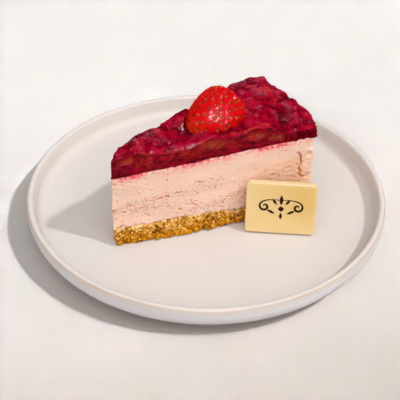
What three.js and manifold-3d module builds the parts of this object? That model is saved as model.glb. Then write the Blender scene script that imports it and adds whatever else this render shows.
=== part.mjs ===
// A slice of strawberry cheesecake, served on its stoneware plate: a biscuit crumb base, a pink
// filling, a layer of set strawberry compote, a halved strawberry on top, and a small white
// chocolate plaque that stands on the plate and leans against the cut face.
// Millimetres, +Z up. The origin is the middle of the plate's foot, on the table. The slice is
// modelled in a frame of its own, with the cake's centre at its origin and the front cut along +X.

import * as THREE from "three";
import { mergeGeometries, mergeVertices } from "three/addons/utils/BufferGeometryUtils.js";
import Module from "manifold-3d";

const wasm = await Module();
wasm.setup();

// Plate: a coupe plate 21 cm across, with a flat well and a low upright rim.
const PLATE_RADIUS = 105;
const PLATE_HEIGHT = 21;
const WELL_DEPTH = 11;
const WELL_Z = PLATE_HEIGHT - WELL_DEPTH;
const RIM_THICKNESS = 4;
const WELL_FILLET = 6;
const OUTER_CORNER = 11.5;
const UNDERSIDE_Z = 5;
const FOOT_RADIUS = 70;
const FOOT_WIDTH = 5;
const FOOT_RECESS = 3.4;
const PLATE_SEGMENTS = 64;

// Slice: one fourteenth of a cake 26 cm across, its tip cut blunt.
const CAKE_RADIUS = 129;
const SLICES_PER_CAKE = 14;
const WEDGE = (2 * Math.PI) / SLICES_PER_CAKE;
const TIP_FRONT = 10;
const TIP_BACK = 17.5;
const BASE_HEIGHT = 10;
const FILLING_TOP_AT_TIP = 44.2;
const FILLING_RISE = 0.056;
const TOPPING_TOP_AT_TIP = 62;
const TOPPING_RISE = 0.018;
const CORNER_ROUNDING = 1;
const LAYER_GAP = 0.3;
const SLICE_APEX = new THREE.Vector2(-61.3, -43.1);
const SLICE_TURN = THREE.MathUtils.degToRad(17.95);

// Halved strawberry: it lies on its cut side, its stalk end propped up by the compote.
const BERRY_LENGTH = 30.8;
const BERRY_WIDTH = 29.4;
const BERRY_END = 0.66;
const BERRY_FLATTENING = 0.95;
const BERRY_AT = new THREE.Vector3(72.3, 20.8, 59.9);
const BERRY_TURN = THREE.MathUtils.degToRad(24.6);
const BERRY_PITCH = THREE.MathUtils.degToRad(-9);
const ACHENES = 150;
const SEAT_MARGIN = 0.7;
const GOLDEN_ANGLE = Math.PI * (3 - Math.sqrt(5));

// White chocolate plaque.
const PLAQUE_WIDTH = 40;
const PLAQUE_HEIGHT = 30.5;
const PLAQUE_THICKNESS = 4.5;
const PLAQUE_CORNER = 2.2;
const PLAQUE_EDGE = 0.7;
const PLAQUE_AT = new THREE.Vector2(42.4, -23.8);
const PLAQUE_TURN = THREE.MathUtils.degToRad(-4.1);
const PLAQUE_LEAN = THREE.MathUtils.degToRad(-9.5);

// Height of the compote's front edge along the cut, as x and z in the slice's frame.
const FRONT_CREST = [
  [8, 57.2],
  [23, 58.8],
  [38, 56.2],
  [54, 56.9],
  [67, 61.2],
  [81, 59.4],
  [93, 62.5],
  [111, 58.9],
  [120, 57.2],
  [130, 55.6],
];

// Pieces of strawberry that lift the compote's top, and hollows between them with a negative
// height, in the slice's frame: middle, half length, half width, height, and turn in degrees.
const FRUIT = [
  { x: 32, y: 12, long: 14, wide: 5, high: 2.6, turn: 24 },
  { x: 38, y: 10, long: 5, wide: 4, high: 1.4, turn: 70 },
  { x: 48, y: 12, long: 12, wide: 8, high: -2.2, turn: 20 },
  { x: 57, y: 13, long: 11, wide: 8, high: -5.4, turn: 15 },
  { x: 72, y: 10, long: 9, wide: 7, high: -4.2, turn: 0 },
  { x: 81, y: 8, long: 8, wide: 5, high: -3.2, turn: 0 },
  { x: 84, y: 36, long: 14, wide: 6, high: 1.8, turn: 24 },
  { x: 97, y: 43, long: 10, wide: 7, high: 1.6, turn: 50 },
  { x: 103, y: 19, long: 8, wide: 4, high: 1.4, turn: 62 },
  { x: 113, y: 36, long: 9, wide: 5, high: 2, turn: 110 },
  { x: 114, y: 7, long: 7, wide: 5, high: 1.4, turn: 12 },
  { x: 120, y: 19, long: 7, wide: 5, high: 2.2, turn: 80 },
];

// A repeatable source of random numbers from 0 to 1.
function seeded(seed) {
  let state = seed;
  return () => {
    state = (Math.imul(state, 1664525) + 1013904223) >>> 0;
    return state / 2 ** 32;
  };
}

// Smooth noise from -1 to 1, with one random value for each unit cell corner.
function noise(x, y, z) {
  const corner = (i, j, k) => {
    const hash = Math.sin(i * 127.1 + j * 311.7 + k * 74.7) * 43758.5453;
    return 2 * (hash - Math.floor(hash)) - 1;
  };
  const [i, j, k] = [x, y, z].map(Math.floor);
  const [u, v, w] = [x - i, y - j, z - k].map((t) => t * t * (3 - 2 * t));
  const mix = THREE.MathUtils.lerp;
  const row = (jj, kk) => mix(corner(i, jj, kk), corner(i + 1, jj, kk), u);
  return mix(mix(row(j, k), row(j + 1, k), v), mix(row(j, k + 1), row(j + 1, k + 1), v), w);
}

// Joining and cutting work on closed solids, and these two go to one and back.
function solidOf(geometry) {
  const bare = geometry.clone();
  bare.deleteAttribute("normal");
  bare.deleteAttribute("uv");
  const merged = mergeVertices(bare, 1e-3);
  const vertProperties = new Float32Array(merged.attributes.position.array);
  const triVerts = new Uint32Array(merged.index.array);
  return new wasm.Manifold(new wasm.Mesh({ numProp: 3, vertProperties, triVerts }));
}

function geometryOf(solid) {
  const mesh = solid.getMesh();
  return new THREE.BufferGeometry()
    .setAttribute("position", new THREE.BufferAttribute(mesh.vertProperties, 3))
    .setIndex(new THREE.BufferAttribute(mesh.triVerts, 1));
}

function namedMesh(name, geometry, color, roughness) {
  const material = new THREE.MeshStandardMaterial({ color, roughness, metalness: 0 });
  const mesh = new THREE.Mesh(geometry, material);
  mesh.name = name;
  return mesh;
}

// The four sides of the wedge, each with its outward direction. A side's weight is 1 on the
// side itself and dies away quickly inside, so that relief moves the surface and not the core.
const EDGE_POWER = 8;
const SIDES = {
  front: { out: [0, -1], weight: (a, b) => (1 - b) ** EDGE_POWER },
  back: { out: [-Math.sin(WEDGE), Math.cos(WEDGE)], weight: (a, b) => b ** EDGE_POWER },
  outer: { out: [Math.cos(WEDGE / 2), Math.sin(WEDGE / 2)], weight: (a) => a ** EDGE_POWER },
  tip: { out: [-0.79, 0.61], weight: (a) => (1 - a) ** EDGE_POWER },
};

// How far the outer corners of the slice are rounded back, on the cuts and on the outside.
function cornerRounding(radius, b) {
  const alongCut = THREE.MathUtils.clamp((radius - CAKE_RADIUS + 5) / 5, 0, 1);
  const alongArc = Math.abs(2 * b - 1) ** 16;
  return CORNER_ROUNDING * alongCut ** 2 * alongArc;
}

// A point of the wedge in plan. a runs from the tip to the outside, b from the front cut to the
// back cut, and relief gives how far each side stands out there.
function wedgePoint(a, b, relief) {
  const start = THREE.MathUtils.lerp(TIP_FRONT, TIP_BACK, b);
  const radius = THREE.MathUtils.lerp(start, CAKE_RADIUS, a);
  const point = [radius * Math.cos(WEDGE * b), radius * Math.sin(WEDGE * b)];
  for (const [name, side] of Object.entries(SIDES)) {
    const push = side.weight(a, b) * (relief[name](radius, b) - cornerRounding(radius, b));
    point[0] += side.out[0] * push;
    point[1] += side.out[1] * push;
  }
  return point;
}

// One layer of the slice as a closed surface. steps gives how often it is divided along, across
// and up, place(a, b, c) a point with c from 0 at its underside to 1 on top. Flat faces get no
// points inside their outline.
function layerGeometry(steps, place, topIsFlat) {
  const outline = [];
  for (let i = 0; i < steps.along; i++) outline.push([i / steps.along, 0]);
  for (let j = 0; j < steps.across; j++) outline.push([1, j / steps.across]);
  for (let i = steps.along; i > 0; i--) outline.push([i / steps.along, 1]);
  for (let j = steps.across; j > 0; j--) outline.push([0, j / steps.across]);
  const positions = [];
  const triangle = (...corners) => positions.push(...corners.flat());
  const quad = (p, q, r, s) => {
    triangle(p, q, r);
    triangle(p, r, s);
  };
  for (let k = 0; k < steps.up; k++) {
    const [low, high] = [k / steps.up, (k + 1) / steps.up];
    outline.forEach(([a, b], n) => {
      const [a2, b2] = outline[(n + 1) % outline.length];
      quad(place(a, b, low), place(a2, b2, low), place(a2, b2, high), place(a, b, high));
    });
  }
  const flatFace = (level, upwards) => {
    const rim = outline.map(([a, b]) => place(a, b, level));
    const flat = rim.map(([x, y]) => new THREE.Vector2(x, y));
    for (const [p, q, r] of THREE.ShapeUtils.triangulateShape(flat, []))
      triangle(rim[p], rim[upwards ? q : r], rim[upwards ? r : q]);
  };
  flatFace(0, false);
  if (topIsFlat) flatFace(1, true);
  else
    for (let i = 0; i < steps.along; i++)
      for (let j = 0; j < steps.across; j++) {
        const [a, a2] = [i / steps.along, (i + 1) / steps.along];
        const [b, b2] = [j / steps.across, (j + 1) / steps.across];
        quad(place(a, b, 1), place(a2, b, 1), place(a2, b2, 1), place(a, b2, 1));
      }
  const attribute = new THREE.Float32BufferAttribute(positions, 3);
  return new THREE.BufferGeometry().setAttribute("position", attribute);
}

// A rough grain: a squashed octahedron or icosahedron, turned at random.
function grain(shape, size, at, random) {
  const turn = new THREE.Euler(random() * 6, random() * 6, random() * 6);
  const matrix = new THREE.Matrix4().compose(
    at,
    new THREE.Quaternion().setFromEuler(turn),
    new THREE.Vector3(size, size * (0.7 + 0.3 * random()), size * (0.7 + 0.3 * random())),
  );
  return solidOf(shape.clone().applyMatrix4(matrix));
}

// Biscuit crumb base: its foot spreads in front of the cut, and crumbs stand out of its sides.
const CRUMBS = 56;
const CRUMB_SIZES = [0.9, 1.7];
const FOOT_SPREAD = 2.6;

function baseRelief(c) {
  const crag = (x, b, salt) => 0.8 * noise(x / 2.7 + salt, b * 15, c * 3.1 + salt);
  const spread = (x) => FOOT_SPREAD * (1 - c) * Math.sin(Math.PI * Math.min(1, x / 95)) ** 0.5;
  return {
    front: (x, b) => crag(x, b, 1) + spread(x),
    back: (x, b) => crag(x, b, 2) + 0.4 * spread(x),
    outer: (x, b) => crag(x, b, 3) - 0.4,
    tip: (x, b) => crag(x, b, 4) - 0.8 * (1 - c),
  };
}

function crumbBase() {
  const place = (a, b, c) => [...wedgePoint(a, b, baseRelief(c)), c * BASE_HEIGHT];
  let solid = solidOf(layerGeometry({ along: 46, across: 12, up: 3 }, place, true));
  const random = seeded(7);
  const shape = new THREE.IcosahedronGeometry(1, 0);
  for (let n = 0; n < CRUMBS; n++) {
    const share = n / CRUMBS;
    const along = random();
    const size = THREE.MathUtils.lerp(...CRUMB_SIZES, random());
    const height = size + random() * (BASE_HEIGHT - 2 * size);
    const [a, b] = share < 0.45 ? [along, 0] : share < 0.85 ? [along, 1] : [1, along];
    const [x, y] = wedgePoint(a, b, baseRelief(height / BASE_HEIGHT));
    solid = solid.add(grain(shape, size, new THREE.Vector3(x, y, height), random));
  }
  return geometryOf(solid);
}

// Filling: nearly flat cut faces with a slight belly, torn here and there by the knife.
const TEARS = 18;
const CRACK = [
  { x: 119.8, z: 38, length: 4.6, lean: 6 },
  { x: 120.9, z: 31, length: 4.6, lean: -4 },
  { x: 122.6, z: 26, length: 2.6, lean: 60 },
];

function fillingTop(x) {
  return FILLING_TOP_AT_TIP + FILLING_RISE * (x - TIP_FRONT);
}

function fillingRelief(c) {
  const belly = Math.sin(Math.PI * c);
  const wave = (x, b, salt) => 0.35 * noise(x / 9 + salt, b * 5, c * 5 + salt);
  return {
    front: (x, b) => wave(x, b, 11),
    back: (x, b) => wave(x, b, 12),
    outer: (x, b) => wave(x, b, 13) + 0.3 * belly,
    tip: (x, b) => wave(x, b, 14) + 0.7 * belly,
  };
}

// A slit in a cut face: a stretched octahedron, long in the face, thin, and shallow.
function slit(side, x, z, length, thickness, depth, lean) {
  const shape = new THREE.OctahedronGeometry(1);
  shape.scale(length, depth, thickness);
  shape.rotateY(lean);
  shape.translate(x, 0, z);
  if (side === "back") shape.rotateZ(WEDGE);
  return solidOf(shape);
}

function filling() {
  const low = BASE_HEIGHT + LAYER_GAP;
  const place = (a, b, c) => {
    const [x, y] = wedgePoint(a, b, fillingRelief(c));
    return [x, y, THREE.MathUtils.lerp(low, fillingTop(x), c)];
  };
  let solid = solidOf(layerGeometry({ along: 40, across: 10, up: 5 }, place, true));
  for (const { x, z, length, lean } of CRACK)
    solid = solid.subtract(slit("front", x, z, 0.5, length, 2.2, (lean * Math.PI) / 180));
  const random = seeded(19);
  for (let n = 0; n < TEARS; n++) {
    const side = n % 2 ? "back" : "front";
    const x = 18 + 98 * random();
    const z = 15 + 22 * random() ** 1.4;
    const size = [3 + 3 * random(), 0.35 + 0.2 * random(), 1 + 0.4 * random()];
    solid = solid.subtract(slit(side, x, z, ...size, 0.35 * (random() - 0.6)));
  }
  return geometryOf(solid);
}

// Compote: a jelly layer with a lumpy top that rounds down at the outside, tip and back cut.
function fruitLift(x, y) {
  let lift = 0;
  for (const piece of FRUIT) {
    const turn = THREE.MathUtils.degToRad(piece.turn);
    const [dx, dy] = [x - piece.x, y - piece.y];
    const u = (dx * Math.cos(turn) + dy * Math.sin(turn)) / piece.long;
    const v = (dy * Math.cos(turn) - dx * Math.sin(turn)) / piece.wide;
    lift += piece.high * Math.exp(-1.6 * (u * u + v * v) ** 1.3);
  }
  return lift;
}

// How far a rounded edge has dropped, at a distance in from it. A sharp edge has a power of 2.
function edgeDrop(distance, width, depth, power = 4) {
  const t = THREE.MathUtils.clamp(1 - distance / width, 0, 1);
  return depth * t ** power;
}

const crest = new THREE.SplineCurve(FRONT_CREST.map(([x, z]) => new THREE.Vector2(x, z)));
const crestPoints = crest.getPoints(120);

function crestHeight(x) {
  const next = crestPoints.findIndex((point) => point.x > x);
  if (next < 1) return crestPoints.at(next).y;
  const [before, after] = [crestPoints[next - 1], crestPoints[next]];
  return THREE.MathUtils.mapLinear(x, before.x, after.x, before.y, after.y);
}

function toppingTop(x, y) {
  const radius = Math.hypot(x, y);
  const fromBack = x * Math.sin(WEDGE) - y * Math.cos(WEDGE);
  const level = TOPPING_TOP_AT_TIP + TOPPING_RISE * (x - TIP_FRONT) + fruitLift(x, y);
  const nearCut = Math.exp(-Math.max(0, y) / 5);
  const rough = 0.6 * noise(x / 5, y / 5, 3) + 0.4 * noise(x / 2.6, y / 2.6, 8);
  const drop =
    edgeDrop(CAKE_RADIUS + 1 - radius, 8, 4, 2) +
    edgeDrop(fromBack, 4, 1.2) +
    edgeDrop(radius - TIP_FRONT, 6, 1.4);
  return THREE.MathUtils.lerp(level + rough - drop, crestHeight(x), nearCut);
}

function toppingRelief(c) {
  const wave = (x, b, salt) => 0.5 * noise(x / 6 + salt, b * 6, c * 2.5 + salt);
  return {
    front: (x, b) => wave(x, b, 21),
    back: (x, b) => wave(x, b, 22) - 0.6 * c,
    outer: (x, b) => wave(x, b, 23) + 1.6 - 1.2 * c * c,
    tip: (x, b) => wave(x, b, 24) + 0.6 - 1.2 * c,
  };
}

function topping() {
  const place = (a, b, c) => {
    const [x, y] = wedgePoint(a, b, toppingRelief(c));
    return [x, y, THREE.MathUtils.lerp(fillingTop(x) + LAYER_GAP, toppingTop(x, y), c)];
  };
  const layer = layerGeometry({ along: 44, across: 15, up: 3 }, place, false);
  return geometryOf(solidOf(layer).subtract(berrySeat()));
}

// Strawberry: the radius grows from the round tip to the shoulder, and the stalk end is cut off.
function berryRadius(t) {
  return (BERRY_WIDTH / 2) * Math.sin(Math.PI * BERRY_END * t) ** 0.47;
}

// The half berry without its achenes, grown by a margin all round.
function berryBody(margin) {
  const rings = 16;
  const stretch = 1 + (2 * margin) / BERRY_LENGTH;
  const profile = [new THREE.Vector2(0, 0)];
  for (let n = 1; n <= rings; n++) {
    const t = (n / rings) ** 2;
    profile.push(new THREE.Vector2(berryRadius(t) + margin, t * BERRY_LENGTH * stretch));
  }
  profile.push(new THREE.Vector2(0, BERRY_LENGTH * stretch - 0.6));
  const whole = new THREE.LatheGeometry(profile, 36);
  whole.translate(0, (-BERRY_LENGTH * stretch) / 2, 0).rotateZ(-Math.PI / 2);
  whole.scale(1, 1, BERRY_FLATTENING);
  const below = new THREE.BoxGeometry(100, 100, 50).translate(0, 0, -25 - margin);
  return solidOf(whole).subtract(solidOf(below));
}

function berry() {
  let solid = berryBody(0);
  const random = seeded(5);
  for (let n = 0; n < ACHENES; n++) {
    const t = 0.03 + 0.94 * ((n + 0.5) / ACHENES) ** 0.75;
    const angle = n * GOLDEN_ANGLE;
    const radius = berryRadius(t) - 0.15;
    const at = new THREE.Vector3(
      (t - 0.5) * BERRY_LENGTH,
      radius * Math.cos(angle),
      radius * Math.sin(angle) * BERRY_FLATTENING,
    );
    if (at.z > 1.2) solid = solid.add(grain(new THREE.OctahedronGeometry(1), 0.6, at, random));
  }
  return geometryOf(solid);
}

// The seat of the berry in the compote, cleared for its achenes too.
function berrySeat() {
  const body = geometryOf(berryBody(SEAT_MARGIN));
  body.rotateY(BERRY_PITCH).rotateZ(BERRY_TURN).translate(...BERRY_AT);
  return solidOf(body);
}

// Plaque: a rounded plate of chocolate with softened edges, its lower back edge at the origin.
function plaque() {
  const [w, h, r] = [PLAQUE_WIDTH / 2 - PLAQUE_EDGE, PLAQUE_HEIGHT - 2 * PLAQUE_EDGE, PLAQUE_CORNER];
  const face = new THREE.Shape();
  face.moveTo(-w + r, 0);
  face.lineTo(w - r, 0);
  face.absarc(w - r, r, r, -Math.PI / 2, 0);
  face.lineTo(w, h - r);
  face.absarc(w - r, h - r, r, 0, Math.PI / 2);
  face.lineTo(-w + r, h);
  face.absarc(-w + r, h - r, r, Math.PI / 2, Math.PI);
  face.lineTo(-w, r);
  face.absarc(-w + r, r, r, Math.PI, 1.5 * Math.PI);
  const bevel = { bevelThickness: PLAQUE_EDGE, bevelSize: PLAQUE_EDGE, bevelSegments: 2 };
  const depth = PLAQUE_THICKNESS - 2 * PLAQUE_EDGE;
  const geometry = new THREE.ExtrudeGeometry(face, { depth, curveSegments: 3, ...bevel });
  geometry.translate(0, PLAQUE_EDGE, PLAQUE_EDGE).rotateX(Math.PI / 2);
  return geometry;
}

// Plate: its outline in section, from the middle of the underside round to the middle of the well.
function plate() {
  const rimMiddle = PLATE_RADIUS - RIM_THICKNESS / 2;
  const crestZ = PLATE_HEIGHT - RIM_THICKNESS / 2;
  const wallFoot = PLATE_RADIUS - RIM_THICKNESS - 1.5;
  const cornerZ = UNDERSIDE_Z + OUTER_CORNER;
  const section = new THREE.Path();
  section.moveTo(0, FOOT_RECESS);
  section.lineTo(FOOT_RADIUS - FOOT_WIDTH, FOOT_RECESS);
  section.lineTo(FOOT_RADIUS - FOOT_WIDTH + 1, 0);
  section.lineTo(FOOT_RADIUS - 1, 0);
  section.lineTo(FOOT_RADIUS, 0.8);
  section.lineTo(FOOT_RADIUS + 1, UNDERSIDE_Z - 1);
  section.absarc(PLATE_RADIUS - OUTER_CORNER, cornerZ, OUTER_CORNER, -Math.PI / 2, 0, false);
  section.absarc(rimMiddle, crestZ, RIM_THICKNESS / 2, 0, Math.PI, false);
  section.absarc(wallFoot - WELL_FILLET, WELL_Z + WELL_FILLET, WELL_FILLET, 0, -Math.PI / 2, true);
  section.lineTo(0, WELL_Z);
  const geometry = new THREE.LatheGeometry(section.getPoints(3), PLATE_SEGMENTS);
  return geometry.rotateX(Math.PI / 2);
}

const cheesecake = new THREE.Group();
cheesecake.add(namedMesh("plate", plate(), 0xe6dad3, 0.45));

const slice = new THREE.Group();
slice.position.set(SLICE_APEX.x, SLICE_APEX.y, WELL_Z + LAYER_GAP);
slice.rotation.z = SLICE_TURN;
slice.add(namedMesh("crumb_base", crumbBase(), 0xc58a2c, 0.85));
slice.add(namedMesh("filling", filling(), 0xf3c8b0, 0.6));
slice.add(namedMesh("compote", topping(), 0x8c1028, 0.2));
cheesecake.add(slice);

const strawberry = namedMesh("strawberry", berry(), 0xcf0a12, 0.25);
strawberry.position.copy(BERRY_AT);
strawberry.rotation.set(0, BERRY_PITCH, BERRY_TURN, "ZYX");
slice.add(strawberry);

const chocolate = namedMesh("chocolate_plaque", plaque(), 0xf2d28a, 0.4);
chocolate.rotation.set(PLAQUE_LEAN, 0, PLAQUE_TURN, "ZYX");
chocolate.position.set(PLAQUE_AT.x, PLAQUE_AT.y, WELL_Z + LAYER_GAP);
cheesecake.add(chocolate);

export default cheesecake;
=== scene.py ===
"""Looks of a slice of strawberry cheesecake, served on its stoneware plate.

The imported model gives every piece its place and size, in metres, with the plate's foot at the
origin. Each class below makes one sub-assembly and dresses it. Sizes inside the classes are in
millimetres. The slice has a frame of its own, with the cake's centre at its origin, the front
cut along +X and the plate's well at height zero.
"""

import itertools
import logging
import math
from collections.abc import Iterator
from contextlib import contextmanager
from dataclasses import dataclass
from enum import Enum

import bpy
import numpy as np
from mathutils import Matrix, Vector
from mathutils.kdtree import KDTree

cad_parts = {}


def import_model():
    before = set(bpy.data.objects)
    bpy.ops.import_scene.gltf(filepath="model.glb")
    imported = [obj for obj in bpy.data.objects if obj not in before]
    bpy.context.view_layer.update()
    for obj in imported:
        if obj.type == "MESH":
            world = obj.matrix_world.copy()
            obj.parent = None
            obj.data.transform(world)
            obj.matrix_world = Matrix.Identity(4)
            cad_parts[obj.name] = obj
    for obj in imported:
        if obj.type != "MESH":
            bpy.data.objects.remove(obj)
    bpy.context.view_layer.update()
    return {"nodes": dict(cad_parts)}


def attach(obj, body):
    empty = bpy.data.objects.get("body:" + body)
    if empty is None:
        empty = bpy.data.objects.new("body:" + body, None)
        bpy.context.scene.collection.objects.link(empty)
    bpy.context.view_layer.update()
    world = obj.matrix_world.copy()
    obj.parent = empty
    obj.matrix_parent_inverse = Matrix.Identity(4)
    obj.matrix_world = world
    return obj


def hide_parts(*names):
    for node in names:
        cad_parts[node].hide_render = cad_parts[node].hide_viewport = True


log = logging.getLogger("cheesecake")

MM = 0.001
GOLDEN_ANGLE = math.pi * (3 - math.sqrt(5))
FULL_MASK = np.uint64(0xFFFFFFFF)
LEVEL = 0.985

Piece = bpy.types.Object
Socket = bpy.types.NodeSocket
Array = np.ndarray
Flat = tuple[float, float]
Place = tuple[float, float, float]


class Face(Enum):
    """The faces of a layer of the slice, by which way they look."""

    SIDE = "side"
    TOP = "top"
    UNDER = "under"


class Axis(Enum):
    """Unit directions that pieces are turned about."""

    X = (1.0, 0.0, 0.0)
    Y = (0.0, 1.0, 0.0)
    Z = (0.0, 0.0, 1.0)


class Part(Enum):
    """What edit mode selects."""

    POINT = "VERT"
    EDGE = "EDGE"
    FACE = "FACE"


class Reach(Enum):
    """How a light's list of pieces is meant."""

    ONLY = "INCLUDE"
    ALL_BUT = "EXCLUDE"


# Mesh helpers.


def activate(piece: Piece | None = None) -> None:
    """Make a piece the only selected object and the active one, or leave nothing selected."""
    if bpy.context.object and bpy.context.object.mode != "OBJECT":
        bpy.ops.object.mode_set(mode="OBJECT")
    bpy.ops.object.select_all(action="DESELECT")
    if piece:
        piece.select_set(True)
        bpy.context.view_layer.objects.active = piece


@contextmanager
def editing(piece: Piece, part: Part = Part.POINT, chosen: Array | None = None) -> Iterator[None]:
    """Work on a piece in edit mode.

    Args:
        piece: The object to edit.
        part: Whether points, edges or faces are selected.
        chosen: Which of them are selected, one truth value for each, or all of them.

    Yields:
        Nothing.
    """
    activate(piece)
    bpy.ops.object.mode_set(mode="EDIT")
    bpy.ops.mesh.select_mode(type=part.value)
    bpy.ops.mesh.select_all(action="SELECT" if chosen is None else "DESELECT")
    if chosen is not None:
        bpy.ops.object.mode_set(mode="OBJECT")
        parts = piece.data.edges if part is Part.EDGE else piece.data.polygons
        parts.foreach_set("select", chosen)
        bpy.ops.object.mode_set(mode="EDIT")
    yield
    bpy.ops.object.mode_set(mode="OBJECT")


def named(name: str) -> Piece:
    """Name the object that was just added, and its mesh, and return it."""
    piece = bpy.context.object
    piece.name = piece.data.name = name
    return piece


def linked(name: str, data: bpy.types.ID) -> Piece:
    """Return a new object for a mesh, light or camera, linked into the scene."""
    piece = bpy.data.objects.new(name, data)
    bpy.context.scene.collection.objects.link(piece)
    return piece


def apply_modifier(piece: Piece, kind: str, **settings) -> None:
    """Add a modifier to a piece and apply it.

    Args:
        piece: The object to change.
        kind: The modifier's type, such as "REMESH".
        settings: Properties of the modifier.
    """
    activate(piece)
    modifier = piece.modifiers.new(kind.title(), kind)
    for name, value in settings.items():
        setattr(modifier, name, value)
    bpy.ops.object.modifier_apply(modifier=modifier.name)


def remesh(piece: Piece, voxel_mm: float, smoothing: float = 0.0, rounds: int = 0) -> None:
    """Cover a piece with an even mesh, and soften it.

    Args:
        piece: The object to change.
        voxel_mm: The new mesh's step.
        smoothing: How far each point moves to the middle of its neighbours.
        rounds: How often it does.
    """
    apply_modifier(piece, "REMESH", mode="VOXEL", voxel_size=voxel_mm * MM)
    if rounds:
        apply_modifier(piece, "SMOOTH", factor=smoothing, iterations=rounds)


def settle(piece: Piece) -> None:
    """Put a piece's place into its mesh, so that its object sits at the origin."""
    activate(piece)
    bpy.ops.object.transform_apply(location=True, rotation=True, scale=True)


def cad_copy(node: Piece, name: str) -> Piece:
    """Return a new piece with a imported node's shape, whose loose triangles are merged."""
    piece = linked(name, node.data.copy())
    piece.data.materials.clear()
    with editing(piece):
        bpy.ops.mesh.remove_doubles(threshold=1e-3 * MM)
    return piece


def merge_hidden(piece: Piece, low: float, high: float) -> None:
    """Merge the level faces that lie against a neighbour into one, because they never show.

    Args:
        piece: The piece, with its top or underside hidden.
        low: The lowest height of the hidden faces, in millimetres above the well.
        high: Their greatest height.
    """
    normals, centres = (np.empty(len(piece.data.polygons) * 3) for _ in range(2))
    piece.data.polygons.foreach_get("normal", normals)
    piece.data.polygons.foreach_get("center", centres)
    level = np.abs(normals[2::3]) > LEVEL
    heights = centres[2::3]
    hidden = level & (heights > (SLICE.well_z + low) * MM) & (heights < (SLICE.well_z + high) * MM)
    with editing(piece, Part.FACE, hidden):
        bpy.ops.mesh.dissolve_faces()


def read_points(piece: Piece) -> Array:
    """Return a piece's mesh points as an array of rows."""
    points = np.empty(len(piece.data.vertices) * 3)
    piece.data.vertices.foreach_get("co", points)
    return points.reshape(-1, 3)


def write_points(piece: Piece, points: Array) -> None:
    """Move a piece's mesh points to new places."""
    piece.data.vertices.foreach_set("co", points.ravel())
    piece.data.update()


def point_normals(piece: Piece) -> Array:
    """Return the outward direction at each mesh point."""
    normals = np.empty(len(piece.data.vertices) * 3)
    piece.data.vertex_normals.foreach_get("vector", normals)
    return normals.reshape(-1, 3)


def paint(piece: Piece, **values: Array) -> None:
    """Store named numbers for each mesh point, for a material to read."""
    for name, numbers in values.items():
        attribute = piece.data.attributes.new(name, "FLOAT", "POINT")
        attribute.data.foreach_set("value", np.asarray(numbers, np.float32))


def shade_smooth(piece: Piece, angle_deg: float = 180) -> None:
    """Shade a piece smooth, with creases left where faces meet more sharply than an angle."""
    activate(piece)
    if angle_deg < 180:
        bpy.ops.object.shade_smooth_by_angle(angle=math.radians(angle_deg))
    else:
        bpy.ops.object.shade_smooth()


def turn(axis: Axis, degrees: float) -> Array:
    """Return the matrix that turns rows of points about an axis."""
    return np.array(Matrix.Rotation(math.radians(degrees), 3, Vector(axis.value))).T


def smoothstep(low: float, high: float, values: Array) -> Array:
    """Rise smoothly from 0 at low to 1 at high."""
    t = np.clip((values - low) / (high - low), 0, 1)
    return t * t * (3 - 2 * t)


@dataclass(frozen=True)
class Noise:
    """Repeatable noise over points in space, whose grain is given for all axes or for each."""

    seed: int = 0

    def _hashed(self, cells: Array, salt: int = 0) -> Array:
        """Return one value from 0 to 1 for each whole-numbered cell."""
        x, y, z = (cells[:, i].astype(np.uint64) for i in range(3))
        code = (x * np.uint64(374761393) + y * np.uint64(668265263)) & FULL_MASK
        code = (code + z * np.uint64(2246822519) + np.uint64(self.seed * 977 + salt)) & FULL_MASK
        for shift, factor in ((13, 1274126177), (15, 2654435761)):
            code = ((code ^ (code >> np.uint64(shift))) * np.uint64(factor)) & FULL_MASK
        return ((code >> np.uint64(8)) & np.uint64(0xFFFF)).astype(float) / 65535

    def smooth(self, points: Array, size: float | Place) -> Array:
        """Return smooth noise from -1 to 1 at rows of x, y and z."""
        scaled = points / np.asarray(size) + 1000
        cells = np.floor(scaled).astype(np.int64)
        share = scaled - cells
        weight = share * share * (3 - 2 * share)
        total = np.zeros(len(points))
        for corner in itertools.product((0, 1), repeat=3):
            here = np.prod(np.where(np.array(corner, bool), weight, 1 - weight), axis=1)
            total += here * self._hashed(cells + np.array(corner))
        return 2 * total - 1

    def layered(self, points: Array, size: float | Place, layers: int = 3) -> Array:
        """Return smooth noise with finer noise on top, from about -1 to 1."""
        total, share = np.zeros(len(points)), 1.0
        for layer in range(layers):
            finer = np.asarray(size) / 2.03**layer
            total += share * Noise(self.seed + 31 * layer).smooth(points, finer)
            share *= 0.5
        return total / 1.5

    def shifts(self, points: Array, size: float, layers: int = 3) -> Array:
        """Return a shift for each point, with the noise of this and the next two seeds along the axes."""
        return np.stack([Noise(self.seed + i).layered(points, size, layers) for i in range(3)], axis=1)

    def cells(self, points: Array, size: float | Place) -> tuple[Array, Array]:
        """Find the nearest of many scattered seeds.

        Args:
            points: Rows of x, y and z.
            size: How far apart the seeds are, in the points' own unit.

        Returns:
            The distance as a share of size, and a value from 0 to 1 that is the seed's own.
        """
        scaled = points / np.asarray(size) + 1000
        home = np.floor(scaled).astype(np.int64)
        nearest, own = np.full(len(points), 9.0), np.zeros(len(points))
        for step in itertools.product((-1, 0, 1), repeat=3):
            cell = home + np.array(step)
            seeds = cell + np.stack([self._hashed(cell, salt) for salt in (1, 2, 3)], axis=1)
            distance = np.linalg.norm(scaled - seeds, axis=1)
            closer = distance < nearest
            nearest = np.where(closer, distance, nearest)
            own = np.where(closer, self._hashed(cell, 4), own)
        return nearest, own


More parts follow.
